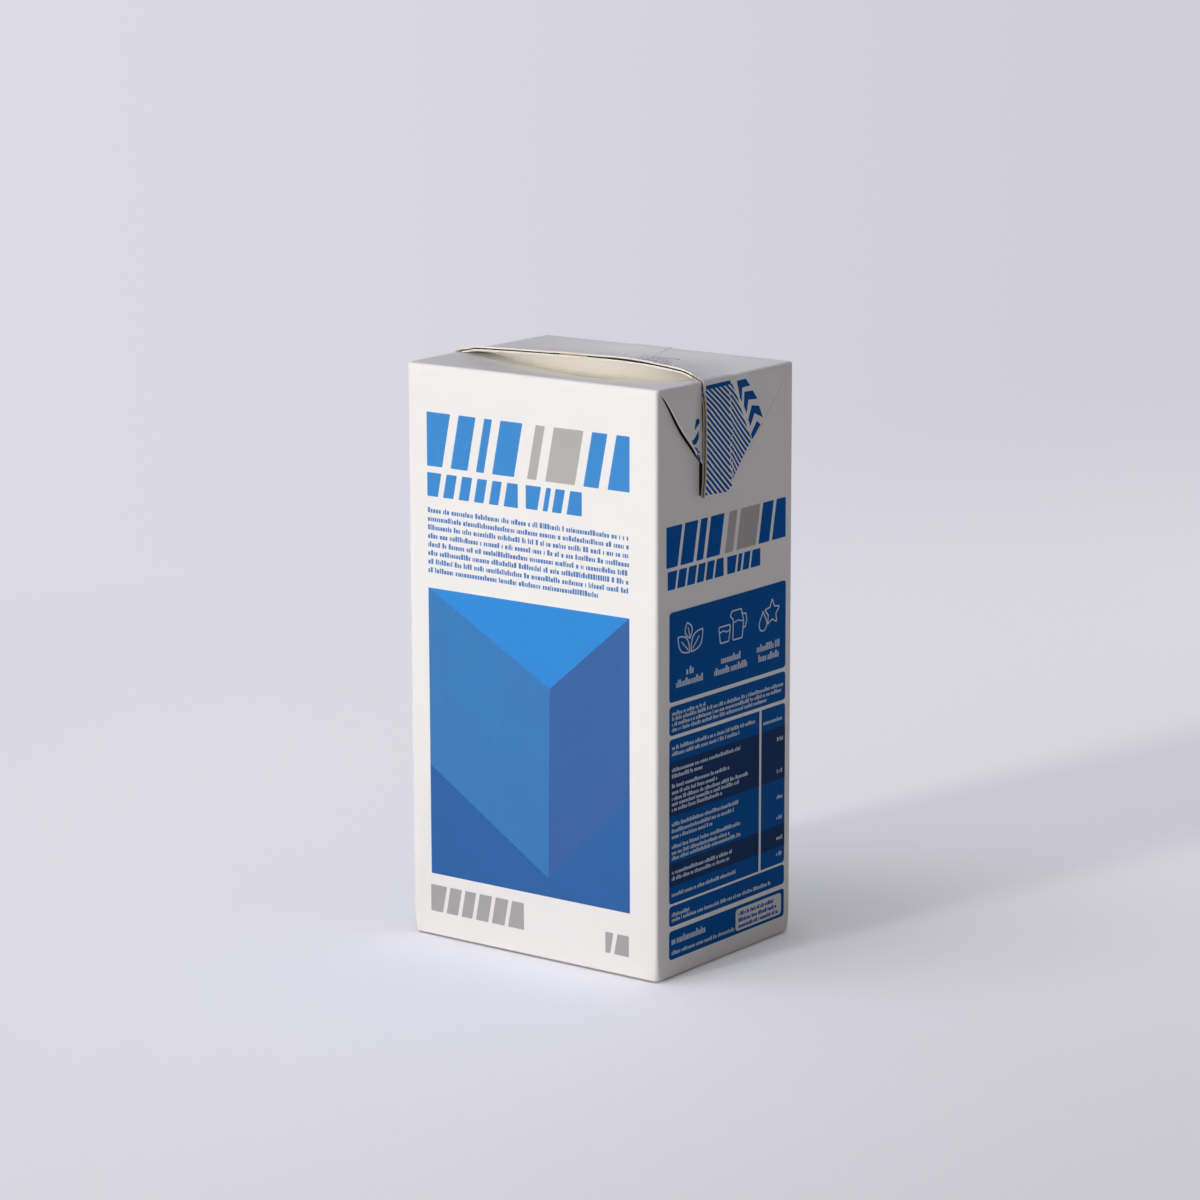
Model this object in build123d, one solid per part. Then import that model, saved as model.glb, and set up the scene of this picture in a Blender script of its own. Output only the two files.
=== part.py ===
from build123d import *
import math
import os

# A shut one-litre brick carton of milk, folded from one sheet of coated paperboard and filled.
# Frame: +Z up, the printed front faces -Y, one side ear is on +X and the other on -X.
# The origin is under the middle of the pack, on the plane it stands on. Millimetres throughout.

# The brick
WIDTH = 90.0  # across the front, between the side walls
DEPTH = 67.0  # front wall to back wall
HEIGHT = 172.0  # standing plane to the folds round the lid
BOARD = 0.45  # one thickness of board
FOLD_RADIUS = 1.0  # upright edges
TOP_RADIUS = 0.9  # the fold round the lid
BOTTOM_RADIUS = 0.8  # the fold round the base
CORNER_RADIUS = 3.0  # bottom corners, blunted where the board is tucked in
CORNER_RISE = 7.0  # height over which a blunt corner narrows to an upright edge
LID_RIM = 0.6  # level rim inside the lid's folds
TOP_DIP = 5.0  # how far the lid sinks at the middle of its seal

# The seal fin: two boards sealed together along the lid's centre line and folded to the front
FIN_WIDTH = 13.0  # from the seal's root to its cut edge
FIN_GAP = 0.3  # air between the two boards
FIN_TILT = 43.0  # angle over the level at the middle of the lid, where the fin springs up
FIN_LIFT = 0.4  # how far the cut edge clears the lid and the ears at the pack's sides
FIN_ROOT = 0.5  # depth of the root in the crease
FIN_STATIONS = 13  # sections along the fin

# The ears: the corners of the folded lid, flat triangles turned down on the side walls
EAR_PLIES = 2
EAR_INSET = 1.5  # an ear's upper corners stop this far short of the front and back walls
FIN_END_GAP = 0.4  # the fin is cut off this far above the ear's point
FIN_TIP_GAP = 0.2  # from the side wall to the fin's lower front corner

# The base: ears folded under it and the lower seal fin, which the pack stands on
FOOT = 0.5  # how far the folds stand proud of the base
FOOT_INSET = 1.0  # the folds stop this far inside the walls

# The back seam, where one end of the sheet laps over the other
SEAM_WIDTH = 10.0
SEAM_OFFSET = -3.5  # the lap's middle, from the pack's centre line
SEAM_CLEARANCE = 3.0  # from the lap's ends to the folds

BURY = 0.4  # how far one fold is let into the next, so that the pack is one solid

FIN_THICKNESS = 2 * BOARD + FIN_GAP
EAR_THICKNESS = EAR_PLIES * BOARD
HALF_WIDTH = WIDTH / 2
HALF_DEPTH = DEPTH / 2
EAR_DROP = HALF_DEPTH  # an ear's edges are 45-degree folds that meet at mid depth


def level(radius, z):
    """The pack's rounded plan at height z."""
    return Pos(0, 0, z) * RectangleRounded(WIDTH, DEPTH, radius)


def polygon(plane, points):
    """A flat face on a plane, inside a closed outline."""
    return plane * make_face(Polyline(*points, close=True))


def brick():
    """The walls, with creased edges and blunt bottom corners."""
    lower = loft([level(CORNER_RADIUS, FOOT), level(FOLD_RADIUS, CORNER_RISE)], ruled=True)
    upper = extrude(level(FOLD_RADIUS, CORNER_RISE), HEIGHT - CORNER_RISE)
    body = lower + upper
    body = fillet(body.edges().group_by(Axis.Z)[-1], TOP_RADIUS)
    return fillet(body.edges().group_by(Axis.Z)[0], BOTTOM_RADIUS)


def dip():
    """The hollow over the lid: level along the front and back folds, deepest at the seal."""
    reach_x = HALF_WIDTH - TOP_RADIUS - LID_RIM
    reach_y = HALF_DEPTH - TOP_RADIUS - LID_RIM
    left = (-reach_x, HEIGHT)
    right = (reach_x, HEIGHT)
    over = HEIGHT + FIN_WIDTH
    rim = Polyline(right, (reach_x, over), (-reach_x, over), left)
    edge = make_face(Line(left, right) + rim)
    middle = make_face(ThreePointArc(left, (0, HEIGHT - TOP_DIP), right) + rim)
    front = Plane.XZ.offset(reach_y) * edge
    back = Plane.XZ.offset(-reach_y) * edge
    return loft([front, Plane.XZ * middle, back], ruled=True)


def lean(rise):
    """The fin's angle over its base, in radians, when its cut edge is this much higher."""
    return math.asin(rise / FIN_WIDTH)


def fin_profile(base, tilt):
    """The fin's section: (distance behind the root, height) pairs, over a base at a height."""
    edge = (-FIN_WIDTH * math.cos(tilt), base + FIN_WIDTH * math.sin(tilt))
    across = (FIN_THICKNESS * math.sin(tilt), FIN_THICKNESS * math.cos(tilt))
    return [
        (FIN_THICKNESS, base - FIN_ROOT),
        (0, base - FIN_ROOT),
        edge,
        (edge[0] + across[0], edge[1] + across[1]),
        (across[0], base + across[1]),
    ]


def lid_section(x):
    """The fin cut across the lid at x, where it leans more the nearer it is to the middle."""
    share = 1 - (x / HALF_WIDTH) ** 2
    rest = lean(FIN_LIFT)
    tilt = rest + (math.radians(FIN_TILT) - rest) * share
    return polygon(Plane.YZ.offset(x), fin_profile(HEIGHT - TOP_DIP * share, tilt))


def lid_fin():
    """The seal fin along the lid: flat at the sides and sprung up in the middle."""
    step = WIDTH / (FIN_STATIONS - 1)
    return loft([lid_section(-HALF_WIDTH + i * step) for i in range(FIN_STATIONS)])


def fin_turn():
    """The bend that carries the fin from the lid down on to the ear."""
    hinge = Axis((HALF_WIDTH, 0, HEIGHT - EAR_THICKNESS), (0, 1, 0))
    return revolve(lid_section(HALF_WIDTH), hinge, 90)


def ear_section(z, rise):
    """The fin cut level across an ear, its cut edge this far off the ear's face."""
    profile = fin_profile(EAR_THICKNESS, lean(rise))
    return polygon(Plane.XY.offset(z), [(HALF_WIDTH + out, y) for y, out in profile])


def ear_fin():
    """The seal fin on an ear, cut square just above the ear's point."""
    top = ear_section(HEIGHT - EAR_THICKNESS, FIN_LIFT)
    end = ear_section(HEIGHT - EAR_DROP + FIN_END_GAP, FIN_TIP_GAP - EAR_THICKNESS)
    return loft([top, end], ruled=True)


def ear():
    """One ear: a doubled triangle of board, turned down about the same line as the fin over it."""
    half = HALF_DEPTH - EAR_INSET
    outline = [(-half, HEIGHT), (half, HEIGHT), (0, HEIGHT - EAR_DROP)]
    flap = extrude(polygon(Plane.YZ.offset(HALF_WIDTH - BURY), outline), BURY + EAR_THICKNESS)
    brow = flap.edges().filter_by(Axis.Y).group_by(Axis.X)[-1]
    return fillet(brow, EAR_THICKNESS)


def base_folds():
    """The ears folded in under the base, and the lower seal fin between them."""
    edge = HALF_WIDTH - FOOT_INSET
    half = HALF_DEPTH - FOOT_INSET
    left = polygon(Plane.XY, [(-edge, -half), (-edge, half), (half - edge, 0)])
    right = polygon(Plane.XY, [(edge, -half), (edge, half), (edge - half, 0)])
    fin = Pos(0, -FIN_WIDTH / 2) * Rectangle(2 * edge, FIN_WIDTH)
    return extrude(left + right + fin, FOOT + BURY)


def back_seam():
    """The lap of the sheet down the back wall."""
    length = HEIGHT - 2 * SEAM_CLEARANCE
    lap = Box(SEAM_WIDTH, BURY + BOARD, length, align=(Align.CENTER, Align.MIN, Align.MIN))
    return Pos(SEAM_OFFSET, HALF_DEPTH - BURY, SEAM_CLEARANCE) * lap


def carton():
    """The whole shut pack."""
    side = ear() + fin_turn() + ear_fin()
    body = brick() - dip()
    return body + lid_fin() + side + side.mirror(Plane.YZ) + base_folds() + back_seam()


os.makedirs("parts", exist_ok=True)
export_step(carton(), "parts/carton.step")
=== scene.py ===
"""A shut one-litre brick carton of milk, in folded, sealed and printed paperboard.

Lengths are millimetres until a mesh becomes a piece, and metres from then on.
+Z is up, the printed front faces -Y, and the origin is under the middle of the pack.
"""

import logging
import math
from collections.abc import Callable, Iterable, Sequence
from dataclasses import dataclass, field, fields, replace
from enum import Enum
from functools import cache, partial
from typing import Protocol

import bmesh
import bpy
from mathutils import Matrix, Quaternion, Vector
from mathutils.geometry import delaunay_2d_cdt


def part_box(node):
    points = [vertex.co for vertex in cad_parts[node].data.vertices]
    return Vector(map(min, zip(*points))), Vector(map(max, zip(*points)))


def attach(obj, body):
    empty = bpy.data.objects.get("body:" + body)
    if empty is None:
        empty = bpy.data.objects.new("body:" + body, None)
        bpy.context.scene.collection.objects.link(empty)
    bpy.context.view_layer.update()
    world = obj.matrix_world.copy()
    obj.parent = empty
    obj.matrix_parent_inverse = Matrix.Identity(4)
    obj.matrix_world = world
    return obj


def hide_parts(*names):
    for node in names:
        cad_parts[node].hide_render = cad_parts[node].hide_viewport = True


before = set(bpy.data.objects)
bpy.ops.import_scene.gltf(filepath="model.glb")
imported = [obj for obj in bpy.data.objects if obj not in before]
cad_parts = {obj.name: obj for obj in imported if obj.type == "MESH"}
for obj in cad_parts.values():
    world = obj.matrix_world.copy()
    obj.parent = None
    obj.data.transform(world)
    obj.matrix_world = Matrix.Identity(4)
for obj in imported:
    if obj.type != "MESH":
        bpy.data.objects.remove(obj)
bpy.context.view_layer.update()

LOG = logging.getLogger("carton")

MM = 0.001
NODE = "carton"
BODY = "root"

CREASE = 32  # degrees; folds sharper than this stay sharp
QUARTER = math.pi / 2
INK_FILM = 0.04  # one ink film's height, above the real 2 micrometres so that films stay apart
INK_ROOT = 0.02  # how far a film reaches into what it is printed on
MIX_A, MIX_B, MIX_OUT = 6, 7, 2  # a Mix node's colour sockets, by number

Pairs = Sequence[tuple[float, float]]
Outline = Pairs
Corners = list[tuple[float, float]]
Rows = Sequence[Sequence[Vector]]
Material = bpy.types.Material
Socket = bpy.types.NodeSocket
Tree = bpy.types.NodeTree
AddNode = Callable[..., bpy.types.Node]  # add_node, with its tree given


# ---- small tools


def linear(colour: str) -> tuple[float, float, float, float]:
    """Turns an sRGB hex colour to linear light.

    Args:
        colour: the colour as "#rrggbb".

    Returns:
        Red, green, blue and an alpha of 1.
    """
    channels = (int(colour[i : i + 2], 16) / 255 for i in (1, 3, 5))
    red, green, blue = (
        c / 12.92 if c <= 0.04045 else ((c + 0.055) / 1.055) ** 2.4 for c in channels
    )
    return red, green, blue, 1.0


def per_metre(size: float) -> float:
    """A texture scale that gives features of this many millimetres on Object coordinates."""
    return 1 / (size * MM)


def add_node(
    tree: Tree, kind: str, inputs: dict[str | int, object] | None = None, **settings: object
) -> bpy.types.Node:
    """Adds a node with its settings and links.

    Args:
        tree: the shader or geometry tree.
        kind: the node's bl_idname.
        inputs: a value, a socket or a node, which stands for its first output, for each
            input by name or number.
        settings: the node's own properties.

    Returns:
        The new node.
    """
    node = tree.nodes.new(kind)
    for name, value in settings.items():
        setattr(node, name, value)
    for key, value in (inputs or {}).items():
        if isinstance(value, bpy.types.Node):
            value = value.outputs[0]
        if isinstance(value, Socket):
            tree.links.new(value, node.inputs[key])
        else:
            node.inputs[key].default_value = value
    return node


def smooth(share: float) -> float:
    """An eased share: 0 up to 0, 1 from 1 on, with level ends."""
    share = min(max(share, 0.0), 1.0)
    return share * share * (3 - 2 * share)


def even(start: float, end: float, parts: int) -> list[float]:
    """The places that cut a stretch into equal parts, with both of its ends."""
    return [start + (end - start) * i / parts for i in range(parts + 1)]


def eased(at: float, stops: Pairs) -> float:
    """Reads a smooth curve drawn through stops.

    Args:
        at: where to read it.
        stops: (place, value) pairs in rising order of place.

    Returns:
        The value there, level beyond the first and the last stop.
    """
    for (a, low), (b, high) in zip(stops, stops[1:], strict=False):
        if at <= b:
            return low + (high - low) * smooth((at - a) / (b - a))
    return stops[-1][1]


def rounded(outline: Outline, radius: float, steps: int = 4) -> Corners:
    """Rounds every corner of an outline.

    Args:
        outline: the corners, in order.
        radius: the roundness, in millimetres.
        steps: how many chords a corner has.

    Returns:
        The rounded outline.
    """
    corners = [Vector(p) for p in outline]
    points: Corners = []
    for i, corner in enumerate(corners):
        back = (corners[i - 1] - corner).normalized()
        ahead = (corners[(i + 1) % len(corners)] - corner).normalized()
        half = back.angle(ahead) / 2
        start = corner + back * (radius / math.tan(half))
        end = corner + ahead * (radius / math.tan(half))
        centre = corner + (back + ahead).normalized() * (radius / math.sin(half))
        for k in range(steps + 1):
            spoke = (start - centre).lerp(end - centre, k / steps).normalized()
            points.append(tuple(centre + spoke * radius))
    return points


def rectangle(left: float, right: float, low: float, high: float) -> Corners:
    """A rectangle's corners, anticlockwise."""
    return [(left, low), (right, low), (right, high), (left, high)]


def opposite(point: Vector) -> Vector:
    """The same point or direction on the pack's other side."""
    return Vector((-point.x, point.y, point.z))


def cut_by(outline: Outline, u: float, keep_right: bool) -> Corners:
    """Cuts an outline along an upright line.

    Args:
        outline: the shape.
        u: where the line stands.
        keep_right: whether the part to the right of it stays, rather than the left.

    Returns:
        The part that stays, which may be empty.
    """
    sign = 1 if keep_right else -1
    kept: Corners = []
    for i, (u1, v1) in enumerate(outline):
        u0, v0 = outline[i - 1]
        if (u0 - u) * (u1 - u) < 0:
            share = (u - u0) / (u1 - u0)
            kept.append((u, v0 + (v1 - v0) * share))
        if (u1 - u) * sign >= 0:
            kept.append((u1, v1))
    return kept


# ---- meshes


@dataclass
class Draft:
    """A mesh being drawn, in millimetres, with a finish number for each face."""

    points: list[Vector] = field(default_factory=list)
    faces: list[tuple[int, ...]] = field(default_factory=list)
    finishes: list[int] = field(default_factory=list)

    def add(
        self, points: Iterable[Vector], faces: Iterable[Sequence[int]], finish: int = 0
    ) -> None:
        """Adds points, and faces that number those points from 0.

        Args:
            points: the points.
            faces: faces, which number those points from 0.
            finish: the faces' finish number.
        """
        first = len(self.points)
        self.points.extend(points)
        for face in faces:
            self.faces.append(tuple(first + i for i in face))
            self.finishes.append(finish)

    def strip(
        self, rows: Rows, around: bool = False, finishes: Sequence[int] = (0,)
    ) -> None:
        """Lays quads between rows of points.

        Args:
            rows: rows with the same number of points.
            around: whether each row closes on itself.
            finishes: the finish of each column, or one for all.
        """
        width = len(rows[0])
        columns = width if around else width - 1
        for lower, upper in zip(rows, rows[1:], strict=False):
            for j in range(columns):
                k = (j + 1) % width
                corners = (lower[j], lower[k], upper[k], upper[j])
                self.add(corners, [(0, 1, 2, 3)], finishes[j % len(finishes)])

    def cap(self, row: Sequence[Vector], finish: int = 0) -> None:
        """Closes a row of points with one face."""
        self.add(row, [range(len(row))], finish)

    def tube(self, rows: Rows) -> "Draft":
        """Lays a strip round a run of closed rows and caps both ends.

        Args:
            rows: the sections, from end to end.

        Returns:
            This drawing.
        """
        self.strip(rows, around=True)
        self.cap(rows[0])
        self.cap(rows[-1])
        return self

    def mirrored(self) -> "Draft":
        """The same mesh on the pack's other side."""
        points = [opposite(p) for p in self.points]
        return Draft(points, [f[::-1] for f in self.faces], list(self.finishes))

    def piece(
        self, name: str, finishes: Sequence[Material], stands_for_node: bool = False
    ) -> bpy.types.Object:
        """Turns the drawing into a finished piece of the pack.

        Args:
            name: the piece's name.
            finishes: a material for each finish number.
            stands_for_node: whether the piece takes the CAD solid's place.

        Returns:
            The object, riding on the pack.
        """
        mesh = bpy.data.meshes.new(name)
        mesh.from_pydata([p * MM for p in self.points], [], self.faces)
        mesh.polygons.foreach_set("material_index", self.finishes)
        for finish in finishes:
            mesh.materials.append(finish)
        return enrol(name, mesh, stands_for_node)


def enrol(name: str, mesh: bpy.types.Mesh, stands_for_node: bool = False) -> bpy.types.Object:
    """Closes a mesh, shades it and makes it ride on the pack.

    Args:
        name: the piece's name.
        mesh: its mesh, in metres and in place.
        stands_for_node: whether the piece takes the CAD solid's place.

    Returns:
        The object.
    """
    work = bmesh.new()
    work.from_mesh(mesh)
    bmesh.ops.remove_doubles(work, verts=work.verts, dist=0.002 * MM)
    bmesh.ops.dissolve_degenerate(work, edges=work.edges, dist=0.001 * MM)
    bmesh.ops.recalc_face_normals(work, faces=work.faces)
    work.to_mesh(mesh)
    open_edges = sum(1 for e in work.edges if not e.is_manifold)
    work.free()
    mesh.polygons.foreach_set("use_smooth", [True] * len(mesh.polygons))
    mesh.set_sharp_from_angle(angle=math.radians(CREASE))
    piece = bpy.data.objects.new(name, mesh)
    bpy.context.scene.collection.objects.link(piece)
    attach(piece, BODY)
    if stands_for_node:
        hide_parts(NODE)
    LOG.info("%s: %d faces, %d open edges", name, len(mesh.polygons), open_edges)
    return piece


# ---- finishes


def blank(owner: Material | bpy.types.World) -> AddNode:
    """Empties a material's or a world's tree, and gives what adds nodes to it.

    Args:
        owner: the material or the world.

    Returns:
        What adds nodes to its tree.
    """
    owner.use_nodes = True
    owner.node_tree.nodes.clear()
    return partial(add_node, owner.node_tree)


@dataclass(frozen=True)
class CoatedBoard:
    """Liquid packaging board: bleached paperboard extruded with polyethylene on a chill roll.

    It gives the eye a satin white with a faint cloudy formation, a fibre grain
    under the film, and soft long glints where the filled board is slack.
    """

    name: str = "polyethylene_coated_board"
    colour: str = "#f0efed"
    cloud: str = "#ecebe9"
    roughness: float = 0.38
    gloss: float = 0.3  # the film over the fibres is uneven, so it mirrors less than clear plastic
    formation: float = 11.0  # mm between the cloudier and clearer places
    grain: float = 0.8  # mm; real fibres are 0.03 mm wide, drawn coarser so that they show
    slack: float = 26.0  # mm between the film's slow waves
    stretch: tuple[float, float, float] = (1.0, 0.45, 0.3)  # the waves run down the sheet

    def build(self) -> Material:
        """The board's material.

        Returns:
            The material.
        """
        material = bpy.data.materials.new(self.name)
        add = blank(material)
        place = add("ShaderNodeTexCoord").outputs["Object"]
        stretched = add("ShaderNodeMapping", {"Vector": place, "Scale": self.stretch})
        clouds, fibres, waves = (
            add("ShaderNodeTexNoise", {"Vector": where, "Scale": per_metre(size), "Detail": detail})
            for where, size, detail in (
                (place, self.formation, 3.0), (place, self.grain, 4.0), (stretched, self.slack, 1.0)
            )
        )
        shades = {MIX_A: linear(self.colour), MIX_B: linear(self.cloud)}
        tint = add("ShaderNodeMix", {"Factor": clouds, **shades}, data_type="RGBA")
        levels = {"To Min": self.roughness - 0.04, "To Max": self.roughness + 0.05}
        sheen = add(
            "ShaderNodeMapRange", {"Value": fibres, "From Min": 0.3, "From Max": 0.7, **levels}
        )
        slow = add("ShaderNodeBump", {"Strength": 0.35, "Distance": 0.4 * MM, "Height": waves})
        fine = add(
            "ShaderNodeBump",
            {"Strength": 0.12, "Distance": 0.03 * MM, "Height": fibres, "Normal": slow},
        )
        surface = add(
            "ShaderNodeBsdfPrincipled",
            {
                "Base Color": tint.outputs[MIX_OUT],
                "Roughness": sheen,
                "IOR": 1.5,
                "Specular IOR Level": self.gloss,
                "Normal": fine,
            },
        )
        add("ShaderNodeOutputMaterial", {"Surface": surface})
        return material


@dataclass(frozen=True)
class PrintedInk:
    """Flexographic ink on coated board, under a thin overprint varnish.

    It gives the eye an even, flat field with a fine mottle.
    """

    name: str
    colour: str
    gloss: float = 0.14  # pigment near the surface keeps the ink flat
    roughness: float = 0.42
    mottle: float = 1.1  # mm; real mottle is about 0.3 mm, drawn coarser so that it shows
    drift: float = 24.0  # mm between heavier and lighter places in the ink
    depth: float = 0.06  # how much darker the ink is at its heaviest

    def build(self) -> Material:
        """The ink's material.

        Returns:
            The material.
        """
        material = bpy.data.materials.new(self.name)
        add = blank(material)
        place = add("ShaderNodeTexCoord").outputs["Object"]
        speckle, weight = (
            add("ShaderNodeTexNoise", {"Vector": place, "Scale": per_metre(size), "Detail": detail})
            for size, detail in ((self.mottle, 3.0), (self.drift, 2.0))
        )
        both = add("ShaderNodeMath", {0: speckle, 1: weight}, operation="ADD")
        value, sheen = (
            add(
                "ShaderNodeMapRange",
                {"Value": source, "From Min": low, "From Max": high, "To Min": a, "To Max": b},
            )
            for source, low, high, a, b in (
                (both, 0.7, 1.3, 1.0 + self.depth / 2, 1.0 - self.depth / 2),
                (speckle, 0.3, 0.7, self.roughness - 0.04, self.roughness + 0.04),
            )
        )
        ink = add("ShaderNodeHueSaturation", {"Color": linear(self.colour), "Value": value})
        relief = add("ShaderNodeBump", {"Strength": 0.1, "Distance": 0.02 * MM, "Height": speckle})
        surface = add(
            "ShaderNodeBsdfPrincipled",
            {
                "Base Color": ink,
                "Roughness": sheen,
                "IOR": 1.48,
                "Specular IOR Level": self.gloss,
                "Normal": relief,
            },
        )
        add("ShaderNodeOutputMaterial", {"Surface": surface})
        return material


@dataclass(frozen=True)
class CutFibre:
    """Paperboard where a knife has cut it, board that heat has browned, and near-black painted
    shade lining the gaps under folds and between the fin's boards.

    It gives the eye a matt, fibrous edge that is paler or browner along its length.
    """

    name: str
    colour: str
    fleck: str
    fibre: float = 0.5  # mm between flecks

    def build(self) -> Material:
        """The cut board's material.

        Returns:
            The material.
        """
        material = bpy.data.materials.new(self.name)
        add = blank(material)
        place = add("ShaderNodeTexCoord").outputs["Object"]
        flecks = add(
            "ShaderNodeTexNoise",
            {"Vector": place, "Scale": per_metre(self.fibre), "Detail": 5.0, "Roughness": 0.65},
        )
        tint = add("ShaderNodeValToRGB", {"Fac": flecks})
        for i, (stop, colour) in enumerate(((0.38, self.fleck), (0.6, self.colour))):
            tint.color_ramp.elements[i].position = stop
            tint.color_ramp.elements[i].color = linear(colour)
        relief = add("ShaderNodeBump", {"Strength": 0.4, "Distance": 0.08 * MM, "Height": flecks})
        surface = add(
            "ShaderNodeBsdfPrincipled",
            {"Base Color": tint, "Roughness": 0.85, "Specular IOR Level": 0.3, "Normal": relief},
        )
        add("ShaderNodeOutputMaterial", {"Surface": surface})
        return material


@dataclass(frozen=True)
class StudioPaper:
    """Seamless background paper, matt and pale, with the object's shadow on it, and painted light
    and shade in its glow.
    """

    name: str = "seamless_paper"
    colour: str = "#f4f3f6"
    bounced: str = "#f5f2ef"  # what it sends back on to the pack
    shine: str = "#f3f3fa"
    glow: float = 0.365  # what the paper adds in view, so that it reads as pale as it is
    near: float = 14.0  # mm round the foot of the pack in which the glow is darkened by occlusion: a painted contact shadow
    middle: tuple[float, float] = (731.65, -970.67)  # mm; the glow is painted darker towards this point
    ahead: tuple[float, float] = (-0.602, 0.799)

    def build(self) -> Material:
        """The paper's material.

        Returns:
            The material.
        """
        material = bpy.data.materials.new(self.name)
        add = blank(material)
        seen = seen_directly(add)
        shades = {MIX_A: linear(self.bounced), MIX_B: linear(self.colour)}
        tint = add("ShaderNodeMix", {"Factor": seen, **shades}, data_type="RGBA")
        matt = add("ShaderNodeBsdfDiffuse", {"Color": tint.outputs[MIX_OUT]})
        # painted contact shadow: the glow is darkened by occlusion round the foot of the pack
        corner = add(
            "ShaderNodeAmbientOcclusion", {"Distance": self.near * MM}, samples=4, only_local=False
        ).outputs["AO"]
        level = add("ShaderNodeMath", {0: corner, 1: self.falloff(add)}, operation="MULTIPLY")
        strength = add("ShaderNodeMath", {0: seen, 1: level}, operation="MULTIPLY")
        glow = add("ShaderNodeEmission", {"Color": linear(self.shine), "Strength": strength})
        both = add("ShaderNodeAddShader", {0: matt, 1: glow})
        add("ShaderNodeOutputMaterial", {"Surface": both})
        return material

    def falloff(self, add: AddNode) -> Socket:
        """The glow's level, as painted light: paler on the key's side, as the bearing from one
        point shows it, and darker nearer that point.

        Args:
            add: what adds nodes to the paper's tree.

        Returns:
            The socket that carries it.
        """
        place = add("ShaderNodeTexCoord").outputs["Object"]
        centre = Vector((*self.middle, 0.0)) * MM
        ahead = Vector((*self.ahead, 0.0))
        across = Vector((ahead.y, -ahead.x, 0.0))
        arm = add("ShaderNodeVectorMath", {0: place, 1: centre}, operation="SUBTRACT")
        along, aside = (
            add("ShaderNodeVectorMath", {0: arm, 1: axis}, operation="DOT_PRODUCT").outputs["Value"]
            for axis in (ahead, across)
        )
        reach = add("ShaderNodeMath", {0: along, 1: 0.3}, operation="MAXIMUM")
        bearing = add("ShaderNodeMath", {0: aside, 1: reach}, operation="DIVIDE")
        # painted light: the glow paler on the key's side
        level = add(
            "ShaderNodeMapRange",
            {
                "Value": bearing,
                "From Min": -0.16,
                "From Max": 0.16,
                "To Min": self.glow * 1.13,
                "To Max": self.glow * 0.86,
            },
            interpolation_type="SMOOTHSTEP",
        )
        # painted shade: the glow darker nearer the middle point, round and in front of the pack
        depth = add(
            "ShaderNodeMapRange",
            {"Value": along, "From Min": 0.95, "From Max": 1.75, "To Min": 0.7, "To Max": 1.0},
        )
        both = add("ShaderNodeMath", {0: level, 1: depth}, operation="MULTIPLY")
        return both.outputs[0]


def seen_directly(add: AddNode) -> Socket:
    """A socket that is 1 for rays from the camera, reflections and glass, and 0 for light.

    Args:
        add: what adds nodes to the tree.

    Returns:
        The socket.
    """
    rays = add("ShaderNodeLightPath").outputs
    seen = rays["Is Camera Ray"]
    for kind in ("Is Glossy Ray", "Is Transmission Ray"):
        either = add("ShaderNodeMath", {0: seen, 1: rays[kind]}, operation="MAXIMUM")
        seen = either.outputs[0]
    return seen


def finish(made: CoatedBoard | PrintedInk | CutFibre) -> Material:
    """A field of the palette that builds its finish when the palette is made."""
    return field(default_factory=made.build)


@dataclass(frozen=True)
class Palette:
    """Every finish of the pack, built once."""

    board: Material = finish(CoatedBoard())
    # the fin's unprinted board: its cream is its own, and it is made paler than the printed board
    # as painted light, so that it reads lit
    fin_board: Material = finish(CoatedBoard("unprinted_board_painted_paler", "#fdf8ee", "#f8f2e6", 0.42))
    cut: Material = finish(CutFibre("cut_board_edge", "#f3eee4", "#e0d6c5", 0.35))
    lap_cut: Material = finish(CutFibre("browned_lap_edge", "#c9b896", "#8d7857"))
    # near-black painted shade: lines the gaps under the ears, under the fin and between the fin's
    # boards
    seal: Material = finish(CutFibre("painted_gap_shade", "#33261b", "#140f0b"))
    # a darker, browner copy of the cut edge, for the fin's edge down the ears: painted shade
    shaded_cut_edge: Material = finish(CutFibre("painted_shade_board_edge", "#d2c2b6", "#a8978a", 0.35))
    name_blue: Material = finish(PrintedInk("name_blue_ink", "#3e8bd0"))
    text_blue: Material = finish(PrintedInk("text_blue_ink", "#4d80bd"))
    grey: Material = finish(PrintedInk("warm_grey_ink", "#b2b0b0"))
    mark_grey: Material = finish(PrintedInk("mark_grey_ink", "#a9a8a8"))
    facet_sky: Material = finish(PrintedInk("sky_facet_ink", "#328bd8"))
    facet_day: Material = finish(PrintedInk("day_facet_ink", "#3c7bba"))
    facet_dusk: Material = finish(PrintedInk("dusk_facet_ink", "#3a63a2"))
    facet_deep: Material = finish(PrintedInk("deep_facet_ink", "#2f63a5"))
    # the name's blue, darker and deeper than name_blue on the front: painted shade of the side
    # walls
    side_name: Material = finish(PrintedInk("side_name_ink", "#005bab", 0.02))
    side_blue: Material = finish(PrintedInk("panel_blue_ink", "#0057a2", 0.02))
    side_navy: Material = finish(PrintedInk("table_navy_ink", "#1c3a69", 0.02))
    side_pale: Material = finish(PrintedInk("reversed_out_text", "#c3cee2"))
    icon_pale: Material = finish(PrintedInk("reversed_out_line", "#d3dbe8"))
    label: Material = finish(PrintedInk("label_white_ink", "#dfe2e6"))
    smudge: Material = finish(PrintedInk("date_mark_ink", "#9aa2b8"))


# ---- the pack's shape


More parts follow.
